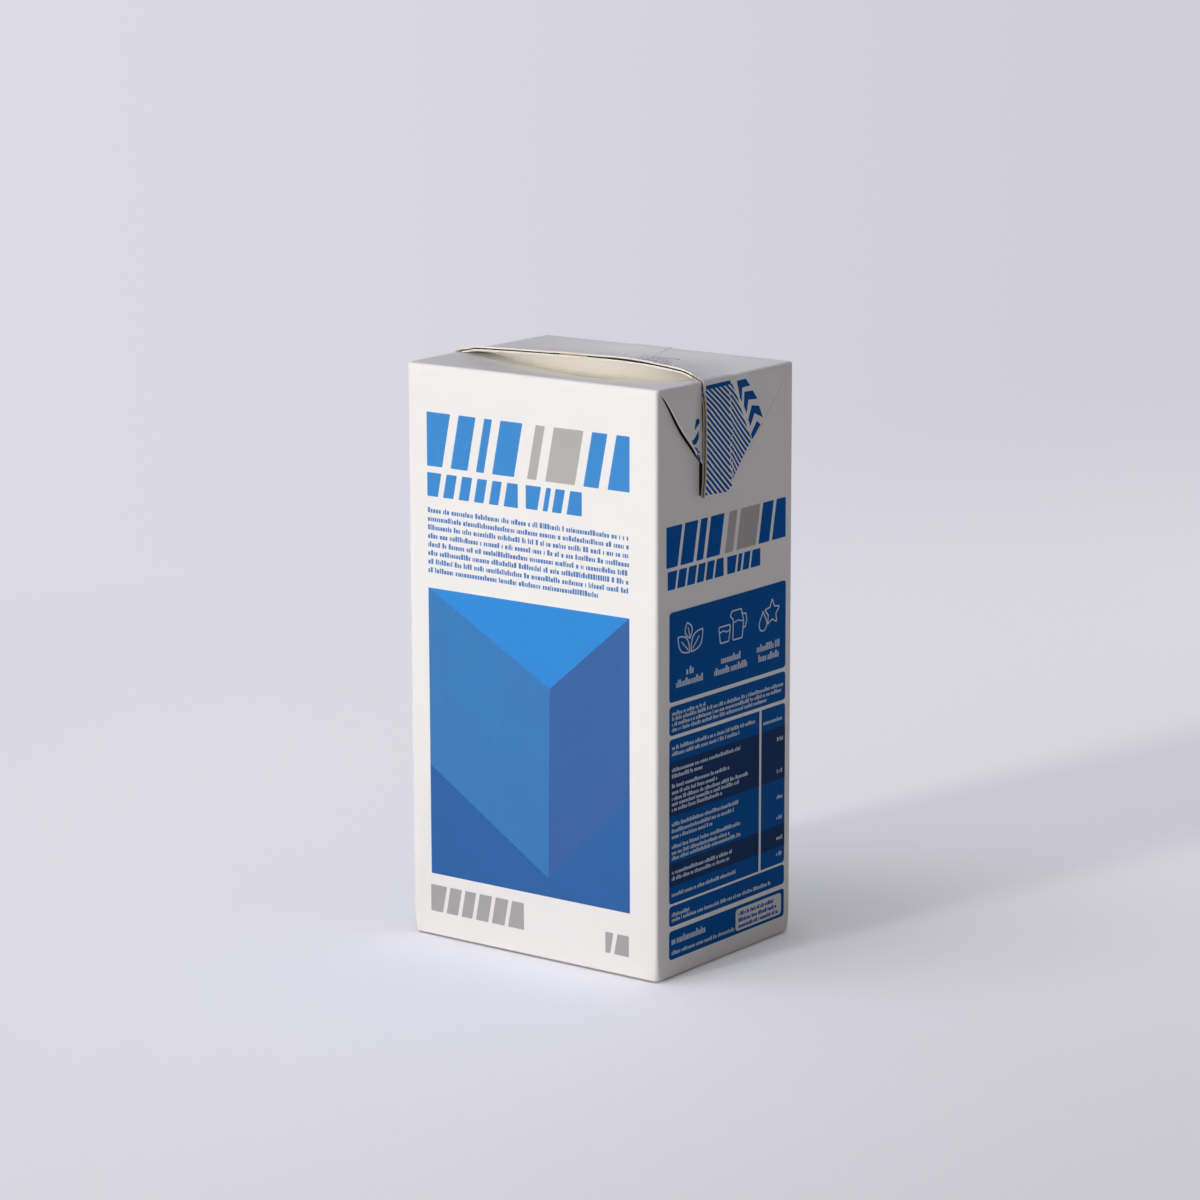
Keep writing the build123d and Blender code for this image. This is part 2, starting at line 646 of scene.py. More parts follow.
@dataclass(frozen=True)
class Pack:
    """The folded pack's sizes, most of which the CAD part has under the same names."""

    width: float
    depth: float
    height: float = 172.0
    board: float = 0.45
    fold_radius: float = 1.0
    top_radius: float = 0.9
    bottom_radius: float = 0.8
    corner_radius: float = 2.2
    corner_rise: float = 6.0
    lid_rim: float = 0.6
    top_dip: float = 5.0
    foot: float = 0.5
    foot_inset: float = 1.0
    ear: float = 0.9  # two thicknesses of board
    fin_width: float = 13.0
    fin_lift: float = 0.4
    fin_gap: float = 0.3
    seam_width: float = 10.0
    seam_offset: float = -3.5
    crown: float = 0.22  # how far the filled walls swell at their middles

    @classmethod
    def from_frame(cls) -> "Pack":
        """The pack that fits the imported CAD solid's box.

        Returns:
            The pack.
        """
        low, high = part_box(NODE)
        fin = 2 * cls.board + cls.fin_gap
        width = (high.x - low.x) / MM - 2 * (cls.ear + cls.fin_lift + fin)
        return cls(width=round(width, 3), depth=round(-2 * low.y / MM, 3))

    @property
    def fin_thickness(self) -> float:
        """Both boards of the fin and the air between them."""
        return 2 * self.board + self.fin_gap

    @property
    def seam_cut(self) -> float:
        """Where the cut edge of the sheet's lapped end is, along X."""
        return self.seam_offset + self.seam_width / 2

    @property
    def lid_reach(self) -> tuple[float, float]:
        """Half the size of the lid's hollow, across and deep."""
        rim = self.top_radius + self.lid_rim
        return self.width / 2 - rim, self.depth / 2 - rim

    def dip(self, x: float) -> float:
        """How far the seal lies below the folds at x."""
        return self.top_dip * max(0.0, 1 - (x / self.lid_reach[0]) ** 2)

    def lid(self, x: float, y: float) -> float:
        """The lid's height, with the slack waves of a filled pack's board.

        Args:
            x: a place along the pack.
            y: and across it.

        Returns:
            The height, in millimetres.
        """
        reach_x, reach_y = self.lid_reach
        if abs(x) >= reach_x or abs(y) >= reach_y:
            return self.height
        slope = 1 - abs(y) / reach_y
        wave = math.sin(x / 6.1 + 0.6 + 0.02 * y) * math.sin(math.pi * slope)
        wave *= 0.16 * (1 - (x / reach_x) ** 2)
        return self.height - self.dip(x) * slope + (wave if y > 0 else wave * 0.4)

    def lap(self, x: float) -> float:
        """How far the sheet's lapped end lifts the surface behind, at x.

        Args:
            x: a place along the pack.

        Returns:
            The lift.
        """
        if x > self.seam_cut:
            return 0.0
        return self.board * (1 - smooth((self.seam_cut - self.seam_width - x) / 8))

    def lid_lap(self, x: float) -> float:
        """How far the lapped end still lifts the lid at x, where the seal has pressed it flat."""
        return 0.1 * self.lap(x)


class Side(Enum):
    """The four upright walls: each one's outward direction and its direction to the right."""

    FRONT = ((0, -1), (1, 0))
    RIGHT = ((1, 0), (0, 1))
    BACK = ((0, 1), (-1, 0))
    LEFT = ((-1, 0), (0, -1))

    def at(self, out: float, across: float, z: float) -> Vector:
        """The point this far out from the pack's middle, and this far across to the right."""
        (ox, oy), (ax, ay) = self.value
        return Vector((ox * out + ax * across, oy * out + ay * across, z))


class Surface(Protocol):
    """Something that a flat drawing is laid on: u runs to the right and v up, from outside."""

    def place(self, u: float, v: float, lift: float) -> Vector:
        """The point over (u, v), this far off the surface."""


@dataclass(frozen=True)
class Wall:
    """An upright wall. u starts at its left edge and v at the plane the pack stands on."""

    pack: Pack
    side: Side

    @property
    def wide(self) -> bool:
        """Whether this is the front or the back."""
        return self.side in (Side.FRONT, Side.BACK)

    @property
    def span(self) -> float:
        """The wall's width."""
        return self.pack.width if self.wide else self.pack.depth

    @property
    def reach(self) -> float:
        """How far the wall is from the pack's centre line."""
        return (self.pack.depth if self.wide else self.pack.width) / 2

    def crown(self, u: float, v: float) -> float:
        """How far the wall swells there.

        Args:
            u: a place across the wall.
            v: and up it.

        Returns:
            The swelling.
        """
        across = 1 - (2 * u / self.span - 1) ** 2
        up = 1 - (2 * v / self.pack.height - 1) ** 2
        return self.pack.crown * max(across, 0.0) * max(up, 0.0)

    def place(self, u: float, v: float, lift: float) -> Vector:
        """The point over (u, v), this far off the wall.

        Args:
            u: a place across the wall.
            v: and up it.
            lift: how far off it.

        Returns:
            The point.
        """
        across = u - self.span / 2
        out = self.reach + self.crown(u, v) + lift
        if self.side is Side.BACK:
            out += self.pack.lap(-across)
        return self.side.at(out, across, v)


@dataclass(frozen=True)
class Shell:
    """The brick that the sheet is folded into: four walls, the base and the sunk lid."""

    pack: Pack
    across: int = 30
    deep: int = 24
    turns: int = 6
    storeys: int = 30
    low_rings: tuple[float, ...] = (2.6, 4.0, 5.5)  # where the blunter corners at the foot end

    def ring(self, z: float, inset: float, radius: float) -> list[Vector]:
        """A rounded ring round the pack.

        Args:
            z: its height.
            inset: how far it is inside the walls.
            radius: the roundness of its corners.

        Returns:
            Its points, anticlockwise from above.
        """
        points: list[Vector] = []
        for side in Side:
            wall = Wall(self.pack, side)
            out = wall.reach - inset
            half = wall.span / 2 - inset - radius
            for across in even(-half, half, self.across if wall.wide else self.deep):
                swell = wall.crown(across + wall.span / 2, z) if inset == 0 else 0.0
                points.append(side.at(out + swell, across, z))
            for turn in even(0, QUARTER, self.turns)[1:-1]:
                off = out - radius + radius * math.cos(turn)
                points.append(side.at(off, half + radius * math.sin(turn), z))
        return points

    def corner(self, z: float) -> float:
        """The upright edges' roundness at z, blunter at the foot."""
        share = min(max((z - self.pack.foot) / (self.pack.corner_rise - self.pack.foot), 0), 1)
        return self.pack.corner_radius + (self.pack.fold_radius - self.pack.corner_radius) * share

    def walls(self) -> list[list[Vector]]:
        """Rings from the middle of the base to the lid's rim.

        Returns:
            The rings, from the bottom up.
        """
        p = self.pack
        high = p.height - p.top_radius
        rows = [self.ring(p.foot, p.corner_radius, 0)]
        for turn in even(0, QUARTER, 5):
            inset = p.bottom_radius * (1 - math.sin(turn))
            z = p.foot + p.bottom_radius * (1 - math.cos(turn))
            rows.append(self.ring(z, inset, self.corner(z) - inset))
        rows += [self.ring(z, 0, self.corner(z)) for z in (*self.low_rings, p.corner_rise)]
        for z in even(p.corner_rise, high, self.storeys)[1:]:
            rows.append(self.ring(z, 0, p.fold_radius))
        for turn in even(0, QUARTER, 5)[1:]:
            inset = p.top_radius * (1 - math.cos(turn))
            z = high + p.top_radius * math.sin(turn)
            rows.append(self.ring(z, inset, max(p.fold_radius - inset, 0.1)))
        return [*rows, self.ring(p.height, p.top_radius + p.lid_rim, 0)]

    def panel(self, inset: float, height: Callable[[float, float], float]) -> list[list[Vector]]:
        """A flat or sunk panel inside the rings.

        Args:
            inset: how far its edges are inside the walls.
            height: its height at (x, y).

        Returns:
            Its rows of points.
        """
        half_x = self.pack.width / 2 - inset
        half_y = self.pack.depth / 2 - inset
        across = even(-half_x, half_x, self.across)
        deep = even(-half_y, half_y, self.deep)
        return [[Vector((x, y, height(x, y))) for x in across] for y in deep]

    def build(self, palette: Palette) -> None:
        """Makes the shell.

        Args:
            palette: the finishes.
        """
        p = self.pack
        draft = Draft()
        draft.strip(self.walls(), around=True)
        draft.strip(self.panel(p.corner_radius, lambda x, y: p.foot))
        draft.strip(self.panel(p.top_radius + p.lid_rim, p.lid))
        draft.piece("board_shell", [palette.board], stands_for_node=True)


@dataclass(frozen=True)
class Ear:
    """A corner of the folded top: a doubled triangle of board turned down on a side wall.

    It is drawn for the pack's right side, and mirrored for the left.
    """

    pack: Pack
    inset: float = 0.9  # its upper corners stop this far short of the front and back walls
    front_gap: float = 0.5  # how far its free front half stands off the wall under the fin
    edge_gap: float = 0.65  # how much further it stands off in front of the fin
    bow: float = 3.0  # how far its free front edge swings out of the straight fold
    edge_steps: tuple[float, ...] = (0.0, 0.06, 0.16, 0.3, 0.45)
    storeys: int = 26
    rim: float = 0.1  # how thick it still is at its upper corners
    pressed_front: float = 0.75
    pressed_rear: float = 0.55

    @property
    def half(self) -> float:
        """Half the ear's length along the lid's fold."""
        return self.pack.depth / 2 - self.inset

    @property
    def hinge(self) -> float:
        """The height at which the ear starts down the wall."""
        return self.pack.height - self.pack.top_radius

    @property
    def tip(self) -> float:
        """The height of the ear's point."""
        return self.pack.height - self.pack.depth / 2

    def edge(self, z: float, front: bool) -> float:
        """How far a free edge is from the ear's middle line, at z.

        Args:
            z: the height.
            front: whether it is the front edge.

        Returns:
            The distance.
        """
        down = (self.hinge - z) / (self.hinge - self.tip)
        straight = self.half * (1 - down)
        if not front:
            return straight
        return straight + self.bow * eased(down, ((0, 0), (0.45, 1), (0.75, 1), (1, 0)))

    def thickness(self, y: float) -> float:
        """Both boards, pressed thin towards the upper corners and along the rear.

        Args:
            y: a place along the ear.

        Returns:
            The thickness.
        """
        pressed = self.pressed_rear if y > 0 else self.pressed_front
        full = eased(abs(y), ((1.0, self.pack.ear), (12.0, pressed)))
        return self.rim + (full - self.rim) * smooth((self.half - abs(y)) / 13)

    def gap(self, y: float, z: float) -> float:
        """The air between the wall and the ear's front half.

        Args:
            y: a place along the ear.
            z: its height.

        Returns:
            The gap.
        """
        if y >= 0:
            return 0.0
        down = max(0.0, self.hinge - z)
        lift = self.front_gap * min(1.0, down / 14) * min(1.0, -y / 13)
        return lift + self.edge_gap * min(1.0, down / 2.5) * smooth((-y - 14) / 5)

    def face(self, y: float, z: float) -> float:
        """How far the ear's outer face is off the wall's plane."""
        return self.thickness(y) + self.gap(y, z)

    def columns(self, front: float, rear: float) -> list[float]:
        """Places across the ear at one height, close together at its folded edges.

        Args:
            front: how far the ear reaches forward.
            rear: and backward.

        Returns:
            The places.
        """
        if front + rear < 2.0:
            return even(-front, rear, 28)
        *steps, margin = self.edge_steps
        middle = even(margin - front, rear - margin, 20)
        return [step - front for step in steps] + middle + [rear - s for s in reversed(steps)]

    def build(self, palette: Palette) -> None:
        """Makes both ears.

        Args:
            palette: the finishes.
        """
        p = self.pack
        wall = p.width / 2
        outer: list[list[Vector]] = []
        inner: list[list[Vector]] = []
        across = self.columns(self.half, self.half)
        for turn in (-20.0, 0.0, 22.5, 45.0, 67.5):
            angle = math.radians(turn)
            z = self.hinge + p.top_radius * math.cos(angle) + 0.02
            top = []
            for y in across:
                out = self.face(y, self.hinge) - p.top_radius * (1 - math.sin(angle))
                tucked = Vector((wall - 1.4, y, p.height - 0.15))
                top.append(tucked if turn < 0 else Vector((wall + out, y, z)))
            outer.append(top)
            inner.append(
                [Vector((min(q.x, wall) - 1.2, q.y, min(q.z, self.hinge) - 0.4)) for q in top]
            )
        for z in even(self.hinge, self.tip, self.storeys):
            front, rear = self.edge(z, True), self.edge(z, False)
            top, under = [], []
            for y in self.columns(front, rear):
                t = self.face(y, z)
                bend = self.thickness(y) / 2
                inside = min(((front + y) if y < 0 else (rear - y)) * 0.75, bend)
                drop = bend - math.sqrt(max(bend**2 - (bend - inside) ** 2, 0.0))
                top.append(Vector((wall + t - drop, y, z)))
                under.append(Vector((wall + t - 2 * bend + drop - 0.02, y, z)))
            outer.append(top)
            inner.append(under)
        draft = Draft()
        rim = len(self.edge_steps) - 1
        painted_shade_columns = len(outer[0]) - 1 - 2 * rim
        draft.strip(outer)
        # the underside between the rounded edges takes the near-black painted shade, so that the
        # gap under the ear reads dark
        draft.strip(inner, finishes=[0] * rim + [1] * painted_shade_columns + [0] * rim)
        for end in (0, -1):
            draft.strip([[row[end] for row in outer], [row[end] for row in inner]])
        for end in (0, -1):
            draft.strip([outer[end], inner[end]])
        finishes = [palette.board, palette.seal]
        draft.piece("ear_right", finishes, stands_for_node=True)
        draft.mirrored().piece("ear_left", finishes, stands_for_node=True)


@dataclass(frozen=True)
class PaintedFoldShade:
    """Painted shade: near-black films on the wall under an ear's free edge, and on the ear and the
    wall under the fin's free edge.
    """

    pack: Pack
    ear: Ear
    fin: "Fin"
    reach: float = 2.6  # how far in from a free edge it is seen
    film: float = 0.03
    root: float = -0.1  # how far it is sunk into what it lies on

    def under_ear(self) -> Draft:
        """The painted shade on the wall under the ear's free front edge.

        Returns:
            Its mesh, on the right side.
        """
        wall = Wall(self.pack, Side.RIGHT)
        root, film, reach = self.root, self.film, self.reach
        corners = ((0.05, root), (0.05, film), (reach, film), (reach, root))
        rows = []
        for z in even(self.ear.hinge - 0.3, self.ear.tip + 8, 24):
            u = self.pack.depth / 2 - self.ear.edge(z, True)
            rows.append([wall.place(u + across, z, lift) for across, lift in corners])
        return Draft().tube(rows)

    def under_fin(self, trimmed: float) -> Draft:
        """The painted shade on the ear, and on the wall below it, under the fin's free edge.

        Args:
            trimmed: how much narrower the fin is here than on the right-hand ear.

        Returns:
            Its mesh, on the right side.
        """
        half = self.pack.width / 2
        wall = Wall(self.pack, Side.RIGHT)
        rows = []
        for z in even(self.ear.hinge - 2.0, self.fin.end + 0.4, 32):
            start = 0.2 + trimmed - self.fin.on_ear(z).width
            over, under = [], []
            for y in even(start, start + self.reach, 6):
                on_ear = -y < self.ear.edge(z, True) - 0.3
                swell = wall.crown(y + self.pack.depth / 2, z)
                out = half + (self.ear.face(y, z) if on_ear else swell)
                over.append(Vector((out + self.film, y, z)))
                under.append(Vector((out + self.root, y, z)))
            rows.append(over + under[::-1])
        return Draft().tube(rows)

    def build(self, palette: Palette) -> None:
        """Makes both, on both sides.

        Args:
            palette: the finishes.
        """
        # near-black painted shade
        inside = [palette.seal]
        self.under_ear().piece("right_under_ear", inside)
        self.under_ear().mirrored().piece("left_under_ear", inside)
        self.under_fin(0.0).piece("right_painted_shade_under_fin", inside)
        self.under_fin(self.fin.askew).mirrored().piece("left_painted_shade_under_fin", inside)


@dataclass(frozen=True)
class FinStation:
    """Where the seal fin is cut across: its root, the way off what it lies on, and its tilt."""

    root: Vector
    up: Vector
    tilt: float
    x: float  # along the lid; beyond the pack's sides it goes on down the ears
    width: float = 13.0
    press: float = 0.0  # how far the fin is pressed into what it lies on
    apron: float = 5.0  # how far behind the root the rear board takes to meet what it lies on

    def at(self, q: float, t: float) -> Vector:
        """The point this far from the root towards the cut edge, and this far through the fin.

        Args:
            q: how far from the root.
            t: how far through, from the front.

        Returns:
            The point.
        """
        back = Vector((0, 1, 0))
        along = self.up * math.sin(self.tilt) - back * math.cos(self.tilt)
        through = self.up * math.cos(self.tilt) + back * math.sin(self.tilt)
        return self.root + along * q + through * t


@dataclass(frozen=True)
class Fin:
    """The top seal: two boards sealed together, folded to the front and down on both ears."""

    pack: Pack
    ear: Ear
    tilt: float = 39.0
    askew: float = 3.4  # how much narrower it is at its left end than at its right
    rise_down_ear: Pairs = ((0.0, 0.2), (8.0, 0.6), (19.0, 0.62), (27.0, 0.4), (32.2, 0.0))
    lowest_rise: float = 0.2  # the rise where it goes round the bend
    bend_growth: float = 0.3  # how much wider it is below the bend
    ear_width: float = 13.7
    bend_press: float = 0.8
    end: float = 138.9
    lid_apron: float = 5.0
    ear_apron: float = 11.0
    open_edge: float = 0.15  # the boards stand apart over this width at the cut edge
    parting: float = 0.12  # how much further they stand apart at the cut edge, all along
    lap_parting: float = 0.14  # and how much more where the sheet's lap is between them
    bulge: float = 0.3  # and in the one place where the seal has let go a little
    bulge_at: float = 15.0
    bulge_width: float = 11.0

    def lean(self, rise: float) -> float:
        """The tilt at which the cut edge is this much higher than the root."""
        return math.asin(rise / self.pack.fin_width)

    def rise(self, z: float) -> float:
        """How far the cut edge stands off beyond an ear's face, at z."""
        hinge = self.pack.height - self.pack.ear
        return eased(hinge - z, self.rise_down_ear)

    def on_lid(self, x: float) -> FinStation:
        """The fin over the lid at x.

        Args:
            x: a place along the lid.

        Returns:
            The section there.
        """
        share = 1 - (x / (self.pack.width / 2)) ** 2
        rest = self.lean(self.pack.fin_lift)
        tilt = rest + (math.radians(self.tilt) - rest) * share
        press = self.bend_press * smooth((abs(x) - 38) / 6)
        root = Vector((x, 0, self.pack.height - self.pack.dip(x) - press))
        width = self.pack.fin_width - self.askew * (0.5 - x / self.pack.width)
        return FinStation(root, Vector((0, 0, 1)), tilt, x, width, press, self.lid_apron)

    def on_bend(self, turn: float) -> FinStation:
        """The fin round the right-hand fold, this many degrees down.

        Args:
            turn: how far down the bend, in degrees.

        Returns:
            The section there.
        """
        angle = math.radians(turn)
        up = Vector((math.sin(angle), 0, math.cos(angle)))
        hinge = Vector((self.pack.width / 2, 0, self.pack.height - self.pack.ear))
        root = hinge + up * (self.pack.ear - self.bend_press)
        x = self.pack.width / 2 + angle
        width = self.pack.fin_width + self.bend_growth * turn / 90
        apron = self.lid_apron + (self.ear_apron - self.lid_apron) * smooth(turn / 90)
        tilt = self.lean(self.lowest_rise)
        return FinStation(root, up, tilt, x, width, self.bend_press, apron)

    def on_ear(self, z: float) -> FinStation:
        """The fin on the right-hand ear at z.

        Args:
            z: a height.

        Returns:
            The section there.
        """
        down = self.pack.height - self.pack.ear - z
        press = self.bend_press * (1 - smooth(down / 7))
        root = Vector((self.pack.width / 2 + self.pack.ear - press, 0, z))
        x = self.pack.width / 2 + 1.6 + down
        width = self.pack.fin_width + self.bend_growth
        width += (self.ear_width - width) * smooth(down / 7)
        tilt = self.lean(self.rise(z))
        apron = min(self.ear_apron, max(self.ear.edge(z, False) - 0.5, 0.6))
        return FinStation(root, Vector((1, 0, 0)), tilt, x, width, press, apron)

    def stations(self) -> list[FinStation]:
        """Every section, from the left ear's end over the lid to the right ear's end.

        Returns:
            The sections.
        """
        hinge = self.pack.height - self.pack.ear
        down = [self.on_ear(z) for z in even(hinge, self.end, 22)[1:]]
        right = [self.on_bend(15.0 * i) for i in range(7)] + down
        left = [
            replace(s, root=opposite(s.root), up=opposite(s.up), x=-s.x, width=s.width - self.askew)
            for s in reversed(right)
        ]
        cut = self.pack.seam_cut
        half = self.pack.width / 2
        places = [-half + 1.5 * i for i in range(1, int(self.pack.width / 1.5))]
        places = sorted([x for x in places if abs(x - cut) > 0.2] + [cut - 0.03, cut + 0.03])
        return left + [self.on_lid(x) for x in places] + right

    def spread(self, x: float) -> float:
        """How much further the boards part at the cut edge, over the gap all along the fin.

        Args:
            x: a place along the fin.

        Returns:
            The extra gap.
        """
        cut = self.pack.seam_cut
        if x <= cut:
            past_lap = smooth((cut - self.pack.seam_width - x) / 5)
            return self.parting + self.lap_parting * (1 - past_lap)
        bulge = math.exp(-(((x - self.bulge_at) / self.bulge_width) ** 2))
        return self.parting + self.bulge * bulge

    def behind(self, station: FinStation, y: float, lift: float) -> Vector:
        """A point over what lies behind the root, beside a station.

        Args:
            station: the section.
            y: how far behind its root.
            lift: how far off.

        Returns:
            The point.
        """
        half = self.pack.width / 2
        if abs(station.x) < half:
            z = self.pack.lid(station.x, y) + self.pack.lid_lap(station.x) * smooth(y / 4)
            return Vector((station.x, y, z + lift))
        base = station.root - station.up * (self.pack.ear - station.press)
        if station.up.z > 0.01:
            return base + Vector((0, y, 0)) + station.up * (self.pack.ear + lift)
        face = self.ear.face(y, station.root.z)
        return base + Vector((0, y, 0)) + station.up * (face + lift)

    def apron_lift(self, y: float, station: FinStation) -> float:
        """How far the rear board still stands over the lid or the ear, this far behind the root."""
        share = 1 - y / station.apron
        return (self.pack.fin_thickness - station.press) * share * share

    def wrap(self, name: str, rows: Rows, edge: int, palette: Palette) -> None:
        """Makes one board of the fin, its cut edge darker and browner down the ears as painted
        shade.

        Args:
            name: the piece's name.
            rows: its sections, from the left ear's end to the right ear's.
            edge: which column of faces is the cut edge.
            palette: the finishes.
        """
        draft = Draft()
        ends = sum(1 for s in self.stations() if s.x < -self.pack.width / 2 + 0.01)
        face = palette.fin_board if name.startswith("fin_front") else palette.board
        # finish 2, the darker cut edge at both ends down the ears, is painted shade
        for part, finish in ((rows[: ends + 1], 2), (rows[ends:-ends], 1), (rows[-ends - 1 :], 2)):
            finishes = [0] * len(rows[0])
            finishes[edge] = finish
            draft.strip(part, around=True, finishes=finishes)
        draft.cap(rows[0], 2)
        draft.cap(rows[-1], 2)
        draft.piece(name, [face, palette.cut, palette.shaded_cut_edge], stands_for_node=True)

    def build(self, palette: Palette) -> None:
        """Makes both boards of the fin, the seal between them, near-black as painted shade of the
        gap, and the sheet's lap in it.

        Args:
            palette: the finishes.
        """
        stations = self.stations()
        shares = even(0, 1, 6)
        front = []
        for s in stations:
            steps = [-0.4] + [share * s.width for share in shares]
            over = [s.at(q, self.pack.board) for q in reversed(steps)]
            front.append([s.at(q, 0) for q in steps] + over)
        self.wrap("fin_front_board", front, len(shares), palette)
        rear = [self.rear_section(s, shares) for s in stations]
        self.wrap("fin_rear_board", rear, len(shares) - 1, palette)
        # the seal between the boards is near-black: painted shade of the gap between them
        seal = [self.seal_shade_section(s) for s in stations]
        Draft().tube(seal).piece("fin_seal_painted_shade", [palette.seal])
        lap = [self.lap_section(share) for share in even(0, 1, 8)]
        Draft().tube(lap).piece("fin_lap", [palette.lap_cut])

    def rear_section(self, s: FinStation, shares: Sequence[float]) -> list[Vector]:
        """The rear board across one station.

        Args:
            s: the station.
            shares: places from the root to the cut edge.

        Returns:
            The points under it and over it, down its slope and back under that.
        """
        p = self.pack
        extra = self.spread(s.x)
        under, over = (
            [s.at(share * s.width, through + extra * share**2) for share in shares]
            for through in (p.board + p.fin_gap, p.fin_thickness)
        )
        places = even(over[0].y, s.apron, 10)[1:]
        slope = [self.behind(s, y, self.apron_lift(y, s)) for y in places]
        tucked = [self.behind(s, s.apron, -0.4), self.behind(s, 0.3, -0.4)]
        return under + over[::-1] + slope + tucked

    def seal_shade_section(self, s: FinStation) -> list[Vector]:
        """The seal between the boards at one station, near-black as painted shade of their gap, a
        little short of their cut edges.

        Args:
            s: the station.

        Returns:
            Its ring of points.
        """
        deep = s.width - self.open_edge
        bottom, top = self.pack.board - 0.05, self.pack.board + self.pack.fin_gap + 0.05
        row = [s.at(-0.3, bottom), s.at(deep, bottom)]
        for share in (1.0, 0.8, 0.6, 0.4, 0.2, 0.0):
            extra = self.spread(s.x) * (share * deep / s.width) ** 2
            row.append(s.at(share * deep, top + extra))
        return row

    def lap_section(self, share: float) -> list[Vector]:
        """The sheet's lapped end where it shows in the seal, this share of its width along.

        Args:
            share: the share, from the cut edge.

        Returns:
            Its ring of points.
        """
        p = self.pack
        s = self.on_lid(p.seam_cut - 0.02 - (p.seam_width - 0.1) * share)
        bottom, top = p.board + 0.04, p.board + p.fin_gap + 0.14
        edge = s.width + 0.03
        return [s.at(edge - 3, bottom), s.at(edge, bottom), s.at(edge, top), s.at(edge - 3, top)]


@dataclass(frozen=True)
class BackLap:
    """The end of the sheet, lapped over the other end down the back and over the lid's rear."""

    pack: Pack

    def section(self, point: Callable[[float, float], Vector]) -> list[Vector]:
        """A ring over and under the lap, where point is the place at an x and a lift.

        Args:
            point: gives the place at an x and a lift.

        Returns:
            The ring.
        """
        cut = self.pack.seam_cut
        across = [cut - 0.001] + [cut - 0.4 - 1.4 * i for i in range(14)]
        top = [point(x, self.pack.lap(x)) for x in across]
        return top + [point(x, -0.25) for x in reversed(across)]

    def build(self, palette: Palette) -> None:
        """Makes the lap as one strip with a cut edge on one side and a slope on the other.

        Args:
            palette: the finishes.
        """
        p = self.pack
        wall = Wall(p, Side.BACK)
        centre = wall.reach - p.top_radius
        low, high = p.foot + p.bottom_radius + 1.0, p.height - p.top_radius

        def on_wall(x: float, lift: float) -> Vector:
            """A point on the back wall, at this row's z."""
            return Vector((x, wall.reach + wall.crown(p.width / 2 - x, z) + lift, z))

        def on_fold(x: float, lift: float) -> Vector:
            """A point on the rear fold, at this row's turn."""
            reach = p.top_radius + lift * flat
            return Vector((x, centre + reach * math.cos(turn), high + reach * math.sin(turn)))

        def on_lid(x: float, lift: float) -> Vector:
            """A point on the lid, at this row's y."""
            return Vector((x, y, p.lid(x, y) + (lift * flat if lift > 0 else lift)))

        rows = []
        for z in even(low, high, 24):
            rows.append(self.section(on_wall))
        for k, turn in enumerate(even(0, QUARTER, 4)[1:], 1):
            flat = 1 - 0.15 * k
            rows.append(self.section(on_fold))
        upright = len(rows)
        for i, y in enumerate(even(centre, 2.0, 16)[1:], 1):
            flat = 0.4 - 0.3 * smooth(i / 4)
            rows.append(self.section(on_lid))
        draft = Draft()
        cut_last = [0] * (len(rows[0]) - 1) + [1]
        draft.strip(rows[:upright], around=True, finishes=cut_last)
        draft.strip(rows[upright - 1 :], around=True)
        draft.cap(rows[0], 1)
        draft.cap(rows[-1])
        draft.piece("back_lap", [palette.board, palette.cut], stands_for_node=True)


@dataclass(frozen=True)
class BaseFolds:
    """What the pack stands on: two ears folded in under the base, and the lower seal fin."""

    pack: Pack
    corner: float = 0.8
    bevel: float = 0.12

    def slab(self, outline: Outline, low: float, high: float, draft: Draft) -> None:
        """Adds a flat board with a slightly rounded rim.

        Args:
            outline: its corners.
            low: the height of its underside.
            high: the height of its top.
            draft: the mesh that it is added to.
        """
        shape = rounded(outline, self.corner)
        centre = sum((Vector(p) for p in shape), Vector((0, 0))) / len(shape)
        rows = []
        for inset, z in ((self.bevel, low), (0.0, low + self.bevel), (0.0, high)):
            row = []
            for point in shape:
                offset = Vector(point) - centre
                offset *= 1 - inset / max(offset.length, 1.0)
                row.append(Vector((*(centre + offset), z)))
            rows.append(row)
        draft.tube(rows)

    def build(self, palette: Palette) -> None:
        """Makes the folded ears and the fin across them.

        Args:
            palette: the finishes.
        """
        p = self.pack
        edge = p.width / 2 - p.foot_inset
        half = p.depth / 2 - p.foot_inset
        ears = Draft()
        for side in (-1, 1):
            outline = [(side * edge, -half), (side * edge, half), (side * (edge - half), 0)]
            self.slab(outline, 0.15, p.foot + 0.2, ears)
        ears.piece("base_ears", [palette.board], stands_for_node=True)
        fin = Draft()
        self.slab(rectangle(-edge, edge, -p.fin_width, 0), 0.0, p.foot + 0.1, fin)
        fin.piece("base_fin", [palette.fin_board], stands_for_node=True)


# ---- print


@dataclass(frozen=True)
class EarFace:
    """The face of an ear with the fin lying on it. u and v are the side wall's."""

    pack: Pack
    ear: Ear
    fin: Fin
    left: bool = False

    def out(self, y: float, z: float) -> float:
        """How far the outermost board is off the wall's plane.

        Args:
            y: a place along the ear.
            z: its height.

        Returns:
            The distance.
        """
        station = self.fin.on_ear(z)
        width = station.width - self.fin.askew * self.left
        if y < -width:
            return self.ear.face(y, z)
        if y <= 0:
            extra = self.fin.spread(station.x) * (y / width) ** 2
            top = station.at(-y, self.pack.fin_thickness + extra)
            return top.x - self.pack.width / 2
        slope = self.fin.apron_lift(y, station) if y < station.apron else 0.0
        return self.ear.face(y, z) + slope

    def place(self, u: float, v: float, lift: float) -> Vector:
        """The point over (u, v), this far off the ear or the fin.

        Args:
            u: a place across the side wall.
            v: and up it.
            lift: how far off.

        Returns:
            The point.
        """
        y = u - self.pack.depth / 2
        x = self.pack.width / 2 + self.out(y, v) + lift
        return Vector((-x if self.left else x, y, v))


